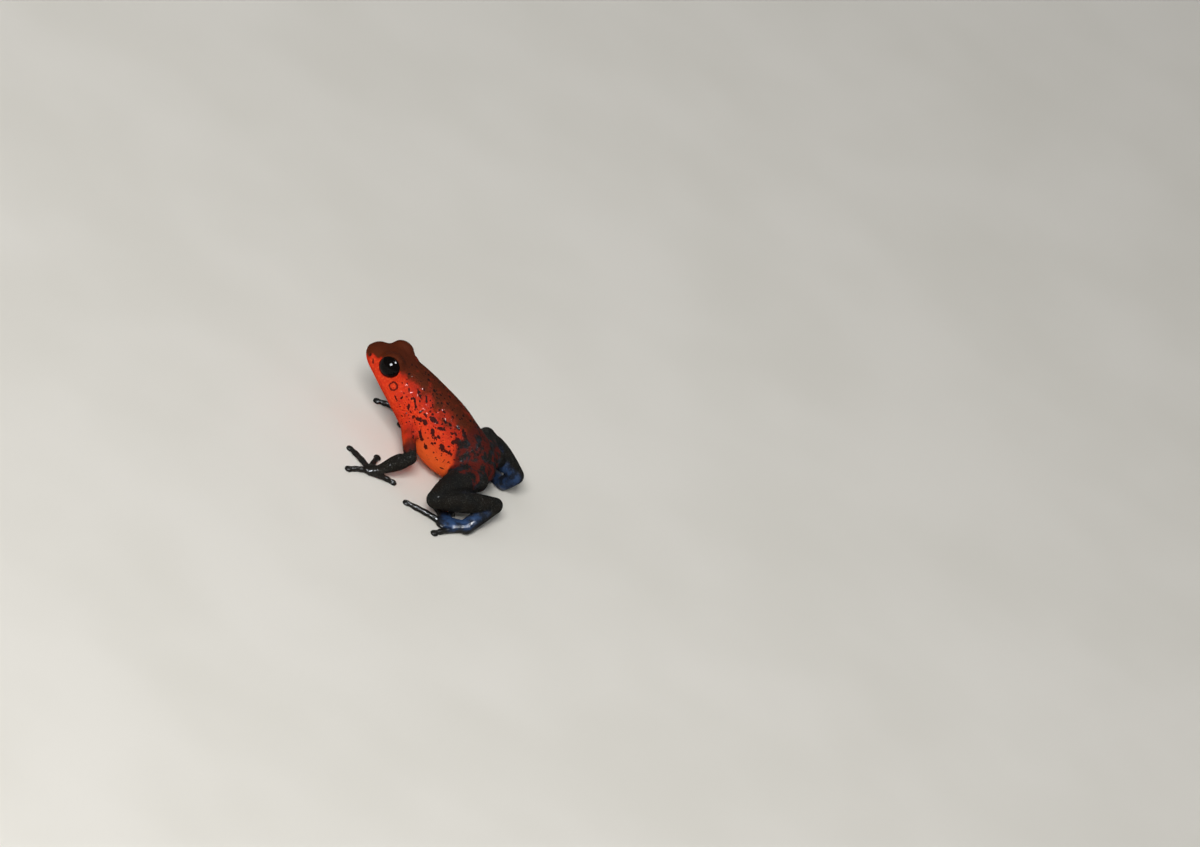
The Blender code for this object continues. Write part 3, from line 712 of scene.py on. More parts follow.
def distance_to_path(points, path):
    """Distance to a path of straight pieces, and the share of the way along it of the nearest point."""
    starts, ends = path[:-1], path[1:]
    span = ends - starts
    square = (span**2).sum(axis=1)
    best = np.full(len(points), np.inf)
    share = np.zeros(len(points))
    for index, start in enumerate(starts):
        u = np.clip(((points - start) @ span[index]) / square[index], 0, 1)
        gap = np.linalg.norm(points - start - u[:, None] * span[index], axis=1)
        nearer = gap < best
        best[nearer] = gap[nearer]
        share[nearer] = (index + u[nearer]) / len(starts)
    return best, share


# The skin's forms.


def feature_distances(points, hand):
    """How far points are from one side's eye, nostril and eardrum, and from its folds at chest and arm."""
    chest = np.array([on_outline(*row, hand) for row in CHEST_FOLD])
    arm = np.array([head_place(row, hand) for row in ARM_FOLD])
    return {
        "eye": away(points, head_place(EYE, hand)),
        "nostril": away(points, nostril_place(hand)),
        "eardrum": away(points, on_outline(*EARDRUM, hand)),
        "chest": distance_to_path(points, chest)[0],
        "arm": distance_to_path(points, arm)[0],
    }


def limb_distances(points):
    """How far points are outside each limb segment, in millimetres, and the share along it."""
    found = {}
    for hand, joints in SIDES:
        for name, start, end, sections, bow in LIMBS:
            ends = mirrored((joints[start], joints[end]), hand)
            gap, share = distance_to_path(points, limb_path(*ends, bow, COARSE_PATH_POINTS))
            found[name, hand] = gap - smooth_rows(sections, share).mean(axis=1), share
    return found


def paw_distance(points):
    """How far points are from the nearest palm, sole or digit, taken as straight rods."""
    nearest = np.full(len(points), np.inf)
    for hand, joints in SIDES:
        for start, end, tips, sections, _, outer_back in PAWS:
            palm = mirrored((joints[start], joints[end]), hand)
            nearest = np.minimum(nearest, distance_to_path(points, palm)[0] - sections[1][1])
            for base, tip in digit_ends(joints, hand, start, end, tips, sections, outer_back):
                ends = np.array((base, tip + (0, 0, DIGIT_LEVEL)))
                nearest = np.minimum(nearest, distance_to_path(points, ends)[0] - DIGIT_REACH)
    return nearest


def open_lids(surface):
    """Each eye's round opening. The cheek is dished round it as by a large ball, the upper lid follows the
    eyeball down to a thin edge, and inside that edge the skin goes under the eyeball."""
    edge, level = LID_EDGE
    dish = level + math.sqrt(DISH_RADIUS**2 - edge**2)
    for hand in HANDS:
        centre, way = head_place(EYE, hand), gaze(hand)
        ray = surface.points - centre
        out = ray @ way
        off = np.linalg.norm(ray - np.outer(out, way), axis=1)
        limit = dish - np.sqrt(DISH_RADIUS**2 - np.clip(off, edge, DISH_REACH) ** 2)
        reach = np.maximum(ramp(off, *DISH_ROUND), ramp(ray[:, 2], *DISH_BELOW)) * ramp(off, *DISH_FADE)
        lower = excess(out - limit, DISH_SOFTNESS) * reach * (out > DISH_BACK)
        ray = ray - np.outer(lower, way)
        far = np.linalg.norm(ray, axis=1)
        turn = np.degrees(np.arctan2(off, out))
        above = ramp(ray[:, 2] / far, *LID_SIDES) * ramp(far, *LID_FADE) * ramp(turn, *LID_END_TURNS)
        hug = EYE_RADIUS + LID_THICKNESS + LID_GROWTH * ramp(turn, *LID_GROWTH_TURNS)
        far_lid = far - above * (excess(far - hug, LID_SOFTNESS) + bells(turn, LID_FOLD))
        inside = ramp(off, edge, edge - EDGE_WIDTH) * (out > 0)
        new = far_lid + inside * (EYE_RADIUS - SKIN_UNDER_EYE - far_lid)
        surface.points = centre + ray * (new / far)[:, None]


def carve_head(surface):
    """The mouth's groove under a slight upper lip, the nostrils' pits, the eardrums' shallow rings and the
    folds at chest and arm: bells and ramps of the distance to each."""
    points, normals = surface.points, surface.normals()
    forward, _, height = from_body(points)
    move = bells(height - mouth_level(forward), *MOUTH_FORMS) * ramp(forward, *MOUTH_CORNER)
    for hand in HANDS:
        gaps = feature_distances(points, hand)
        gaps["nostril"] = np.minimum(gaps["nostril"], away(points, head_place(NOSTRIL, hand)))
        for name, forms in CARVED.items():
            move += bells(gaps[name], *forms)
        move += EARDRUM_DISH * ramp(gaps["eardrum"], EARDRUM_RADIUS, EARDRUM_FLAT)
    surface.points = points + normals * move[:, None]


def marked(points):
    """1 in the middle of each black mark and a bell curve along and across it: the marks as listed on the
    left, and moved a little on the right."""
    rng = np.random.default_rng(SEED)
    rows = [(1.0, *row) for row in MARKS]
    for row in MARKS:
        moved = [value + rng.normal(0, spread) for value, spread in zip(row, MARK_SCATTER)]
        rows.append((-1.0, *moved, *row[3:]))
    most = np.zeros(len(points))
    ahead_step, turn_step = np.array((0, 0.05, 0)), np.array((0, 0, 1.0))
    for hand, forward, turn, heading, length, width in rows:
        side, height = body_outline(forward + ahead_step, np.radians(turn + turn_step))
        centre, ahead, around = on_body(forward + ahead_step, hand * side, height)
        heading = math.radians(heading)
        way = math.cos(heading) * unit(ahead - centre) + math.sin(heading) * unit(around - centre)
        ray = points - centre
        near = (ray**2).sum(axis=1) < (length + MARK_REACH) ** 2
        along = ray[near] @ way
        off = np.sqrt(np.maximum(0, (ray[near] ** 2).sum(axis=1) - along**2))
        most[near] = np.maximum(most[near], np.exp(-0.7 * ((along / length) ** 2 + (off / width) ** 2)))
    return most


def dark_lines_and_fold_shade(points):
    """1 on the dark broken ring round each eardrum, and on the painted shade along the folds at the chest and
    arm.
    """
    lines = np.zeros(len(points))
    for hand in HANDS:
        gaps = feature_distances(points, hand)
        for name, form in DARK_LINES_AND_FOLD_SHADE.items():
            lines = np.maximum(lines, bells(gaps[name], form))
    return lines


def nostril_pit_shade(points):
    """Painted shade in the nostrils' pits: 1 in them and a bell curve of the distance round them."""
    return np.max([bell(away(points, nostril_place(hand)), PIT_SHADE_WIDTH) for hand in HANDS], axis=0)


def split_triangles(points, triangles, chosen):
    """Quarters the chosen triangles, and splits those next to them so that every edge meets an edge."""
    pairs = np.sort(triangles[:, [[0, 1], [1, 2], [2, 0]]], axis=2).reshape(-1, 2)
    edges, which = np.unique(pairs, axis=0, return_inverse=True)
    which = which.reshape(-1, 3)
    halved = np.zeros(len(edges), bool)
    halved[which[chosen]] = True
    middle = np.full(len(edges), -1)
    middle[halved] = len(points) + np.arange(halved.sum())
    points = np.concatenate([points, points[edges[halved]].mean(axis=1)])
    count = halved[which].sum(axis=1)
    made = [triangles[count == 0]]
    for turn in range(3):
        order = np.roll(np.arange(3), -turn)
        a, b, c = triangles[:, order].T
        m, n, p = middle[which[:, order]].T
        cases = (
            ((count == 1) & (m >= 0), ((a, m, c), (m, b, c))),
            ((count == 2) & (p < 0), ((m, b, n), (a, m, n), (a, n, c))),
            ((count == 3) & (turn == 0), ((a, m, p), (m, b, n), (p, n, c), (m, n, p))),
        )
        for rows, corners in cases:
            made += [np.stack(corner, axis=1)[rows] for corner in corners]
    return points, np.concatenate(made)


def finer_head(mesh):
    """Halves the edges round the eyes, mouth, nostrils, eardrums and folds, so that they are crisp."""
    mesh.calc_loop_triangles()
    points, triangles = read_all(mesh.vertices, "co"), read_all(mesh.loop_triangles, "vertices", 3, int)
    centres = points[triangles].mean(axis=1)
    forward, _, height = from_body(centres)
    chosen = (np.abs(height - mouth_level(forward)) < FINER_MOUTH) & (forward > FINER_FROM)
    for hand in HANDS:
        for name, gap in feature_distances(centres, hand).items():
            chosen |= gap < FINER[name]
    points, triangles = split_triangles(points, triangles, chosen)
    return raw_mesh("skin", points, [triangles])


def blend_joints(surface):
    """Rounds the creases where limbs meet the body, where segments meet and where the eyes' bulges rise."""
    points = surface.points
    limbs, body = limb_distances(points), np.abs(body_depth(points))
    weight = np.zeros(surface.count)
    for hand in HANDS:
        bulge = np.abs(away(points, head_place(LID, hand)) - LID_RADIUS)
        gaps = [(np.abs(limbs[name, hand][0]), reach) for name, reach in BODY_BLENDS.items()]
        for gap, reach in (*gaps, (bulge, LID_BLEND)):
            weight = np.maximum(weight, bell(np.hypot(body, gap), reach))
        weight = np.maximum(weight, ramp(away(points, mirrored(BUTTOCK, hand)), *BUTTOCK_BLEND))
    surface.smooth(BODY_ROUNDS, weight, keep_volume=False)
    weight = np.zeros(surface.count)
    for hand, joints in SIDES:
        for name, reach in JOINT_BLENDS.items():
            weight = np.maximum(weight, bell(away(surface.points, mirrored(joints[name], hand)), reach))
    surface.smooth(JOINT_ROUNDS, weight)


def crease_joints(surface):
    """Deepens the creases where a folded limb's segments press on each other, by a bell curve of how much
    nearer a point is to one than to the other. The creases fade at the joint."""
    normals, limbs = surface.normals(), limb_distances(surface.points)
    move = np.zeros(surface.count)
    for hand in HANDS:
        for first, second, depth in CREASES:
            (one, share), (two, other) = limbs[first, hand], limbs[second, hand]
            close = ramp(np.maximum(one, two), *CREASE_CLOSE)
            inside = ramp(share, *CREASE_FIRST) * ramp(other, *CREASE_SECOND)
            move -= depth * bell(one - two, CREASE_WIDTH) * close * inside
    surface.points = surface.points + normals * move[:, None]


def skin_fields(surface):
    """The fields that the markings and the painted light and shade follow, each from 0 to 1: ramps of how
    far along and outside each part of the body a point is, and of where its normal points."""
    points, normals = surface.points, surface.normals()
    up = normals[:, 2]
    forward, _, height = from_body(points)
    limbs, paw_gap, body = limb_distances(points), paw_distance(points), body_depth(points)
    upper = np.minimum(*(limbs["upper_arm", hand][0] for hand in HANDS))
    dark_gaps = [gap for (name, _), (gap, _) in limbs.items() if name != "upper_arm"]
    limb_dark = ramp(np.minimum(body, upper) - np.min([paw_gap, *dark_gaps], axis=0), -0.35, 0.35)
    # Dark on the rump and down the upper arms, less so on top of the thighs.
    line = 4.5 + 1.8 * ramp(height, -1.2, 2.2)
    rump = ramp(forward - line, 0.8, -0.7) * 0.54
    for hand in HANDS:
        gap, share = limbs["upper_arm", hand]
        rump = np.maximum(rump, ramp(share, 0.58, 1.0) * ramp(gap, 0.5, 0.1))
        gap, share = limbs["thigh", hand]
        top = ramp(share, 0.62, 0.2) * ramp(up, -0.3, 0.4) * ramp(gap, 0.5, 0.1)
        limb_dark = limb_dark - 0.45 * top * limb_dark
    # Brown along the back, on the head's top and snout and over the eyes, and on the upper arms: partly the
    # skin's own brown, partly painted shade that grows the more a point faces up.
    head = ramp(forward, 15.5, 19.5) * (1 - limb_dark)
    # Painted shade: the brown grows the more the normal points up.
    over = np.maximum(ramp(up, 0.28, 1.0), ramp(up, 0.15, 0.62) * ramp(forward, 15.0, 18.8))
    for hand in HANDS:
        gap, share = limbs["upper_arm", hand]
        arm = ramp(share, -0.1, 0.5) * ramp(gap, 0.9, 0.2)
        over = over + (0.50 + 0.34 * ramp(share, 0.1, 0.9) - over) * arm
    over = np.maximum(over, ramp(forward, 20.5, 21.5) * ramp(height, -0.1, 0.6))
    over = np.maximum(over, ramp(forward, 21.2, 22.0) * ramp(height, -0.5, 0.1))
    for hand in HANDS:
        eye = head_place(EYE, hand)
        off, rise = away(points, eye), points[:, 2] - eye[2]
        over = np.maximum(over, ramp(off, 2.5, 2.0) * ramp(rise, 0.1, 0.7))
        over = over * (1 - ramp(off, 3.0, 2.5) * ramp(rise, 0.1, -0.4))
    over = over * (1 - limb_dark)
    # Amber low on the flanks, as painted light from below where the skin faces down; specks towards the rump,
    # blue inside the legs and on the feet.
    low = ramp(up, 0.45, -0.3) * ramp(forward, 13.5, 9.0) * (1 - limb_dark)
    specks = ramp(forward, 20.5, 13.5) * ramp(up, -0.75, 0.1) * (1 - limb_dark)
    specks = specks * (1 - 0.75 * ramp(body - upper, 0.1, 0.7))
    blue = np.zeros(surface.count)
    for hand, joints in SIDES:
        inner = normals @ np.array((-0.94 * hand, -0.15, -0.28))
        gap, share = limbs["shank", hand]
        blue = np.maximum(blue, ramp(gap, 0.35, 0.1) * ramp(inner, 0.2, 0.6) * ramp(share, 0.18, 0.4) * 0.6)
        gap, share = limbs["tarsus", hand]
        shown = np.maximum(ramp(up, 0.35, 0.8) * ramp(share, 0.2, 0.5) * 0.8, ramp(inner, 0.2, 0.6) * 0.6)
        blue = np.maximum(blue, ramp(gap, 0.35, 0.1) * shown)
        instep = (np.array(joints["ankle"]) + np.array(joints["sole"])) / 2
        blue = np.maximum(blue, ramp(away(points, mirrored(instep, hand)), 2.2, 1.2) * ramp(up, 0.3, 0.7))
    softened = {
        "dark": (np.maximum(limb_dark, rump), 10),
        "over": (over, 12),
        "low": (low, 12),
        "head": (head, 6),
        "specks": (specks, 6),
        "blue": (blue, 8),
        "paw": (ramp(paw_gap, 0.4, 0.05), 6),
    }
    fields = {name: surface.soften(values, rounds) for name, (values, rounds) in softened.items()}
    return fields | {"marks": marked(points), "lines": dark_lines_and_fold_shade(points), "pits": nostril_pit_shade(points)}


def to_frame(points):
    """Millimetres about the frog to metres in the row's frame."""
    return (points - BOX_CENTRE) * MM


def skin_mesh(voxel):
    """The whole skin: fused, smoothed, blended, with finer faces on the head, carved, with its fields."""
    mesh = fused(flesh_pieces(), voxel)
    surface = Surface(mesh)
    surface.smooth(FIRST_ROUNDS)
    blend_joints(surface)
    crease_joints(surface)
    surface.smooth(CREASE_ROUNDS)
    surface.store()
    mesh = finer_head(mesh)
    surface = Surface(mesh)
    surface.smooth(HEAD_ROUNDS, ramp(from_body(surface.points)[0], 15.0, 15.8))
    carve_head(surface)
    open_lids(surface)
    surface.points[:, 2] = np.maximum(surface.points[:, 2], 0.0)
    fields = skin_fields(surface)
    surface.points = to_frame(surface.points)
    surface.store()
    for name, values in fields.items():
        layer = mesh.attributes.new(name, "FLOAT", "POINT")
        layer.data.foreach_set("value", values.astype(np.float32))
    return mesh


# Materials.


class Nodes:
    """Makes and joins a material's nodes in few words."""

    def __init__(self, name):
        self.material = bpy.data.materials.new(name)
        self.material.use_nodes = True
        self.tree = self.material.node_tree
        self.shader = self.tree.nodes["Principled BSDF"]
        self.place = self.tree.nodes.new("ShaderNodeTexCoord").outputs["Object"]

    def add(self, kind, inputs=None, **settings):
        """A node of a kind, with its settings and its sockets' values or links."""
        node = self.tree.nodes.new(kind)
        for key, value in settings.items():
            setattr(node, key, value)
        self.put(node, inputs or {})
        return node

    def put(self, node, inputs):
        """Links outputs to a node's sockets, or sets the sockets' values."""
        for key, value in inputs.items():
            if isinstance(value, bpy.types.NodeSocket):
                self.tree.links.new(value, node.inputs[key])
            else:
                node.inputs[key].default_value = value

    def field(self, name):
        """One of the skin's fields."""
        return self.add("ShaderNodeAttribute", attribute_name=name).outputs["Fac"]

    def math(self, operation, first, second=0.0, third=0.0):
        """A Math node's result."""
        return self.add("ShaderNodeMath", {0: first, 1: second, 2: third}, operation=operation).outputs[0]

    plus = partialmethod(math, "ADD")
    minus = partialmethod(math, "SUBTRACT")
    times = partialmethod(math, "MULTIPLY")
    most = partialmethod(math, "MAXIMUM")

    def step(self, value, low, high, start=0.0, end=1.0):
        """A smooth step of a value from low to high."""
        inputs = {"Value": value, "From Min": low, "From Max": high, "To Min": start, "To Max": end}
        return self.add("ShaderNodeMapRange", inputs, interpolation_type="SMOOTHSTEP").outputs["Result"]

    def noise(self, size, detail=2.0, distortion=0.0, output="Fac"):
        """Noise whose features are about a size in millimetres."""
        inputs = {"Vector": self.place, "Scale": 1 / (size * MM)}
        inputs |= {"Detail": detail, "Distortion": distortion}
        return self.add("ShaderNodeTexNoise", inputs).outputs[output]

    def spots(self, size, place):
        """The distance to the nearest of spots scattered about a size apart, and that spot's chance."""
        node = self.add("ShaderNodeTexVoronoi", {"Vector": place, "Scale": 1 / (size * MM)}, feature="F1")
        parts = self.add("ShaderNodeSeparateColor", {"Color": node.outputs["Color"]})
        return node.outputs["Distance"], parts.outputs["Red"]

    def mix(self, share, first, second):
        """A colour mixed from two by a share."""
        inputs = {0: share}
        for key, colour in ((6, first), (7, second)):
            inputs[key] = colour if isinstance(colour, bpy.types.NodeSocket) else (*colour, 1)
        return self.add("ShaderNodeMix", inputs, data_type="RGBA", clamp_factor=True).outputs[2]


def linear(red, green, blue):
    """A screen colour of 0 to 255 as the linear colour that shaders take."""
    value = np.array((red, green, blue)) / 255
    value = np.where(value <= 0.04045, value / 12.92, ((value + 0.055) / 1.055) ** 2.4)
    return value.tolist()


def skin_material(colours):
    """Moist red skin with black specks, mottled on the rump and blue-black and granular on the limbs, with
    painted shade on top and in the folds and nostrils, painted light below and a painted sparkle on the
    granules.
    """
    n = Nodes("moist_skin")
    dark, over, head = n.field("dark"), n.field("over"), n.field("head")
    specks, blue, paw, low = n.field("specks"), n.field("blue"), n.field("paw"), n.field("low")

    # The red skin, from the flanks' orange to the brown of the head's top, which is partly painted shade
    # where the skin faces up.
    broad, fine = n.noise(2.2), n.noise(0.32, 3.0)
    uneven = n.times(n.minus(n.noise(1.0, 3.0), 0.5), n.step(head, 0.2, 0.9, 0.9, 0.35))
    over = n.plus(over, n.times(uneven, n.step(over, 0.0, 0.3)))
    # The back's darker red and the brown are partly painted shade on surfaces that face up.
    red = n.mix(n.most(n.step(over, 0.0, 0.55), n.times(head, 0.3)), colours.flank, colours.back)
    red = n.mix(n.times(n.step(over, 0.50, 0.98), 0.94), red, colours.brown_and_top_shade)
    deep = n.times(n.step(broad, 0.35, 0.75, 0.0, 0.5), n.step(over, 0.9, 0.3, 0.1, 1.0))
    red = n.mix(n.times(deep, n.step(head, 0.3, 0.9, 1.0, 0.35)), red, colours.crimson)
    flecks = n.times(n.step(fine, 0.45, 0.8, 0.0, 0.35), n.step(over, 0.6, 0.1))
    # The amber flecks are the skin's own; the amber where the skin faces down is painted light from below.
    red = n.mix(n.most(flecks, n.times(low, 0.7)), red, colours.amber_and_light_from_below)
    red = n.mix(n.step(dark, 0.02, 0.40, 0.0, 0.96), red, colours.rump)

    # Black marks, the eardrums' rings, painted shade in the folds and the nostrils' pits, and specks of three
    # sizes.
    swirl = n.noise(0.42, output="Color")
    shift = n.add("ShaderNodeVectorMath", {0: swirl, 3: 0.34 * MM}, operation="SCALE").outputs[0]
    bent = n.add("ShaderNodeVectorMath", {0: n.place, 1: shift}, operation="ADD").outputs[0]
    ragged = n.minus(n.noise(0.26, 3.0, 0.5), 0.5)
    marks = n.step(n.plus(ragged, n.field("marks")), 0.48, 0.62)
    # The eardrums' dark rings, and painted shade along the folds at chest and arm.
    lines = n.math("MULTIPLY_ADD", n.minus(n.noise(0.34), 0.5), 1.7, n.field("lines"))
    lines = n.times(n.step(lines, 0.5, 0.85, 0.0, 0.9), n.step(n.field("lines"), 0.1, 0.4))
    marks = n.most(marks, lines)
    for size, reach in ((0.72, 0.30), (0.40, 0.33), (0.26, 0.30)):
        near, chance = n.spots(size, bent)
        grown = n.times(n.step(chance, 0.22, 1.0, -0.05, reach), specks)
        marks = n.most(marks, n.step(n.minus(grown, near), -0.03, 0.05))
    # The nostrils' pits painted black as their shade.
    marks = n.most(marks, n.step(n.field("pits"), 0.2, 0.55))
    # One black for the marks, rings and specks, and for the painted shade in folds and nostrils.
    red = n.mix(n.times(marks, 0.94), red, colours.speck_and_recess_shade)

    # The dark skin of the limbs and the rump, with a painted sparkle of grey on the granules, and how it
    # breaks up against the red.
    # Painted highlight: grey dots on the limbs' granules stand in for their sparkle.
    granule_sparkle = n.step(n.spots(0.15, n.place)[0], 0.42, 0.15)
    granule_sparkle = n.times(granule_sparkle, n.step(n.noise(0.6), 0.35, 0.65, 0.15, 1.0))
    black = n.mix(n.step(n.noise(1.6), 0.3, 0.7), colours.limb, colours.umber)
    black = n.mix(granule_sparkle, black, colours.granule_sparkle)
    black = n.mix(n.times(blue, n.step(n.noise(0.8), 0.35, 0.6, 0.2, 1.0)), black, colours.blue)
    rumpish = n.times(n.step(dark, 0.25, 0.6), n.step(dark, 0.95, 0.65))
    black = n.mix(n.times(rumpish, n.step(n.noise(0.7), 0.45, 0.65, 0.0, 0.8)), black, colours.slate)
    blotch = n.plus(dark, n.math("MULTIPLY_ADD", n.noise(0.9, 4.0, 0.3), 2.0, -1.0))
    blotch = n.plus(blotch, n.step(dark, 0.92, 1.0, 0.0, 0.4))

    # Wet patches, gloss and relief.
    rough = n.minus(n.step(n.noise(0.5, 3.0), 0.3, 0.7, 0.72, 0.88), n.times(paw, 0.2))
    wet = n.times(n.step(n.noise(0.45), 0.61, 0.73, 0.0, 0.22), n.step(head, 0.2, 0.9, 1.0, 0.3))
    wet = n.times(n.most(wet, n.times(paw, 0.24)), n.step(n.field("pits"), 0.3, 0.05))
    granules = n.step(n.spots(0.24, n.place)[0], 0.0, 0.75, 1.0, 0.0)
    amount = n.times(n.step(dark, 0.3, 0.8, 0.45, 1.0), n.step(head, 0.0, 1.0, 1.0, 0.6))
    amount = n.times(amount, n.step(paw, 0.2, 0.9, 1.0, 0.45))
    relief = n.plus(n.times(granules, amount), n.noise(0.9))
    bump = n.add("ShaderNodeBump", {"Height": relief, "Strength": 0.8, "Distance": 0.07 * MM})
    looks = {
        "Base Color": n.mix(n.step(blotch, 0.38, 0.70), red, black),
        "Roughness": rough,
        "Specular IOR Level": 0.03,
        "Coat Weight": wet,
        "Coat Roughness": 0.09,
        "Normal": bump.outputs["Normal"],
        "Coat Normal": bump.outputs["Normal"],
    }
    n.put(n.shader, looks)
    return n.material


def eye_material():
    """A wet, nearly black eye with faint dark brown flecks."""
    n = Nodes("wet_eye")
    colour = n.mix(n.step(n.noise(0.12, 3.0), 0.5, 0.8, 0.0, 0.5), linear(9, 7, 7), linear(30, 20, 14))
    n.put(n.shader, {"Base Color": colour, "Roughness": 0.04, "Specular IOR Level": 0.08})
    return n.material


def floor_material():
    """Plain pale matt floor."""
    n = Nodes("pale_floor")
    tint = n.mix(n.step(n.noise(30.0), 0.3, 0.7), linear(226, 224, 218), linear(232, 230, 225))
    n.put(n.shader, {"Base Color": tint, "Roughness": 0.85, "Specular IOR Level": 0.2})
    return n.material


# The add-on's settings, operators and panel.


def colour_setting(name, description, *screen):
    """A colour that a user may change, given as on the screen."""
    return FloatVectorProperty(
        name=name, description=description, size=3, subtype="COLOR", min=0, max=1, default=linear(*screen)
    )


class FrogColours(PropertyGroup):
    """The skin's colours."""

    flank: colour_setting("Flank", "Orange-red of the flanks and belly", 198, 50, 21)
    # The back's red and the brown below are partly painted shade, where the skin faces up.
    back: colour_setting("Back", "Red of the back", 172, 38, 13)
    brown_and_top_shade: colour_setting("Crown", "Brown along the back and on the head", 66, 29, 6)
    crimson: colour_setting("Crimson", "Deeper red of broad patches", 156, 24, 18)
    # Amber also serves as painted light from below on the lower flanks.
    amber_and_light_from_below: colour_setting("Amber", "Lighter orange of fine flecks and of the belly", 238, 102, 42)
    rump: colour_setting("Rump", "Dark red of the rump", 78, 22, 14)
    # This black is also the painted shade in the folds and the nostrils' pits.
    speck_and_recess_shade: colour_setting("Specks", "Black of the specks", 20, 8, 6)
    limb: colour_setting("Limbs", "Black of the limbs", 17, 17, 16)
    umber: colour_setting("Umber", "Brown-black of patches on the limbs", 24, 20, 15)
    # The granules' grey is a painted highlight, their sparkle.
    granule_sparkle: colour_setting("Granules", "Grey of the limbs' granules", 62, 62, 57)
    slate: colour_setting("Slate", "Dull blue of patches on the rump", 36, 38, 46)
    blue: colour_setting("Blue", "Dark metallic blue inside the legs and on the feet", 48, 74, 116)


class FrogSizes(PropertyGroup):
    """The sizes that a user may change."""

    skin_grid: FloatProperty(
        name="Skin grid", description="Cell of the grid that fuses the skin, in mm", default=0.138, min=0.05
    )
    floor_size: FloatProperty(
        name="Floor", description="Side of the floor", default=3.0, min=0.5, unit="LENGTH"
    )


def smooth_piece(name, mesh, material):
    """A smooth-shaded object of one material."""
    mesh.polygons.foreach_set("use_smooth", np.ones(len(mesh.polygons), bool))
    mesh.materials.append(material)
    return put_in_scene(name, mesh)


class FROG_OT_skin(Operator):
    """Makes the frog's whole skin and puts it in the place of the flesh solids"""

    bl_idname = "frog.skin"
    bl_label = "Skin"

    def execute(self, context):
        mesh = skin_mesh(context.scene.frog_sizes.skin_grid)
        obj = smooth_piece("skin", mesh, skin_material(context.scene.frog_colours))
        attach(obj, "root")
        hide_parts(*[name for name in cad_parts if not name.startswith("eye")])
        return {"FINISHED"}


class FROG_OT_eyes(Operator):
    """Makes the two eyeballs in the place of their solids"""

    bl_idname = "frog.eyes"
    bl_label = "Eyes"

    def execute(self, context):
        material = eye_material()
        for side, hand in zip(("left", "right"), HANDS):
            points, faces = ellipsoid(head_place(EYE, hand), (EYE_RADIUS,) * 3, *EYEBALL_GRID)
            mesh = raw_mesh(f"eyeball_{side}", to_frame(points), faces)
            obj = smooth_piece(f"eyeball_{side}", mesh, material)
            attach(obj, "root")
            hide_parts(f"eye_{side}")
        return {"FINISHED"}


def view_direction(way):
    """A direction given along image right, image up and towards the viewer, in the row's frame."""
    return unit(np.array(way) @ np.array(VIEW_AXES))


def area_light(name, place, size, power, colour):
    """A round area light, in metres, that looks at the frog."""
    lamp = bpy.data.lights.new(name, "AREA")
    lamp.shape = "DISK"
    lamp.size, lamp.energy, lamp.color = size, power, colour
    obj = put_in_scene(name, lamp)
    obj.location = place
    obj.rotation_mode = "QUATERNION"
    obj.rotation_quaternion = (Vector(LIGHTS_AIM) - Vector(place)).to_track_quat("-Z", "Y")
    return obj


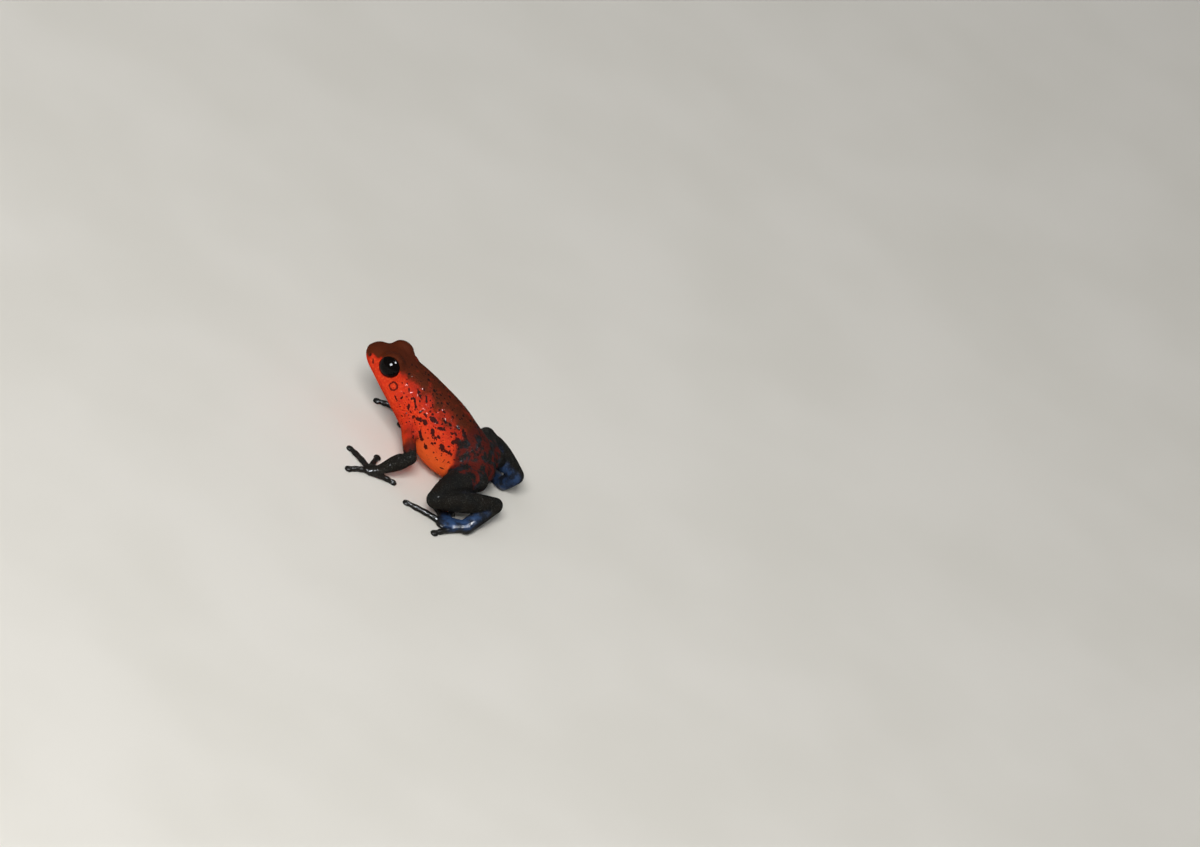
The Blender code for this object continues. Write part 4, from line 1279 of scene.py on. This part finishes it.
class FROG_OT_stage(Operator):
    """Makes the floor, the lights and the camera at the photograph's viewing angle"""

    bl_idname = "frog.stage"
    bl_label = "Stage"

    def execute(self, context):
        self.make_floor(context)
        self.make_lights(context)
        self.make_camera(context)
        return {"FINISHED"}

    def make_floor(self, context):
        """A square floor on the plane Z = 0."""
        half = context.scene.frog_sizes.floor_size / 2
        corners = np.array(((-half, -half, 0), (half, -half, 0), (half, half, 0), (-half, half, 0)))
        mesh = raw_mesh("floor", corners, [np.array([[0, 1, 2, 3]])])
        mesh.materials.append(floor_material())
        obj = put_in_scene("floor", mesh)

    def make_lights(self, context):
        """A key light near the viewer, a soft one above, and two that only glint in eyes and wet skin."""
        for name, way, distance, size, power, colour, matt in LIGHTS:
            light = area_light(name, LIGHTS_AIM + view_direction(way) * distance, size, power, colour)
            light.visible_glossy, light.visible_diffuse = not matt, matt
        fill = area_light("fill", LIGHTS_AIM + FILL_PLACE, *FILL_LIGHT)
        fill.visible_glossy = False
        world = bpy.data.worlds.new("studio")
        world.use_nodes = True
        sky = world.node_tree.nodes["Background"].inputs
        sky["Color"].default_value = SKY_COLOUR
        sky["Strength"].default_value = SKY_STRENGTH
        context.scene.world = world
        context.scene.view_settings.view_transform = "Standard"

    def make_camera(self, context):
        """A long lens that puts the frog where the photograph has it, and as slanted."""
        axes = np.array(VIEW_AXES)
        axes[2] = unit(axes[2])
        axes[0] = unit(axes[0] - axes[2] * (axes[0] @ axes[2]))
        axes[1] = np.cross(axes[2], axes[0])
        offset = (np.array(PHOTO_SIZE) / 2 - VIEW_PIXEL) / VIEW_SCALE * (1, -1)
        middle = np.array(VIEW_POINT) + offset[0] * axes[0] + offset[1] * axes[1]
        data = bpy.data.cameras.new("camera")
        data.sensor_width = SENSOR
        data.lens = SENSOR * CAMERA_DISTANCE / (PHOTO_SIZE[0] / VIEW_SCALE)
        data.clip_start, data.clip_end = 0.01, 10.0
        camera = put_in_scene("camera", data)
        pose = np.eye(4)
        pose[:3, :3] = axes.T
        pose[:3, 3] = to_frame(middle + axes[2] * CAMERA_DISTANCE)
        camera.matrix_world = Matrix(pose.tolist())
        context.scene.camera = camera


class FROG_PT_panel(Panel):
    """Lists the frog's settings and makers"""

    bl_label = "Frog"
    bl_idname = "FROG_PT_panel"
    bl_space_type = "VIEW_3D"
    bl_region_type = "UI"
    bl_category = "Frog"

    def draw(self, context):
        for group in (context.scene.frog_sizes, context.scene.frog_colours):
            for name in group.__annotations__:
                self.layout.prop(group, name)
        for operator in OPERATORS:
            self.layout.operator(operator.bl_idname)


OPERATORS = (FROG_OT_skin, FROG_OT_eyes, FROG_OT_stage)
CLASSES = (FrogColours, FrogSizes, *OPERATORS, FROG_PT_panel)


def register():
    for cls in CLASSES:
        bpy.utils.register_class(cls)
    bpy.types.Scene.frog_colours = PointerProperty(type=FrogColours)
    bpy.types.Scene.frog_sizes = PointerProperty(type=FrogSizes)


def unregister():
    del bpy.types.Scene.frog_sizes
    del bpy.types.Scene.frog_colours
    for cls in reversed(CLASSES):
        bpy.utils.unregister_class(cls)


def main():
    """Makes every piece."""
    register()
    bpy.ops.frog.stage()
    bpy.ops.frog.skin()
    bpy.ops.frog.eyes()


if __name__ == "__main__":
    main()
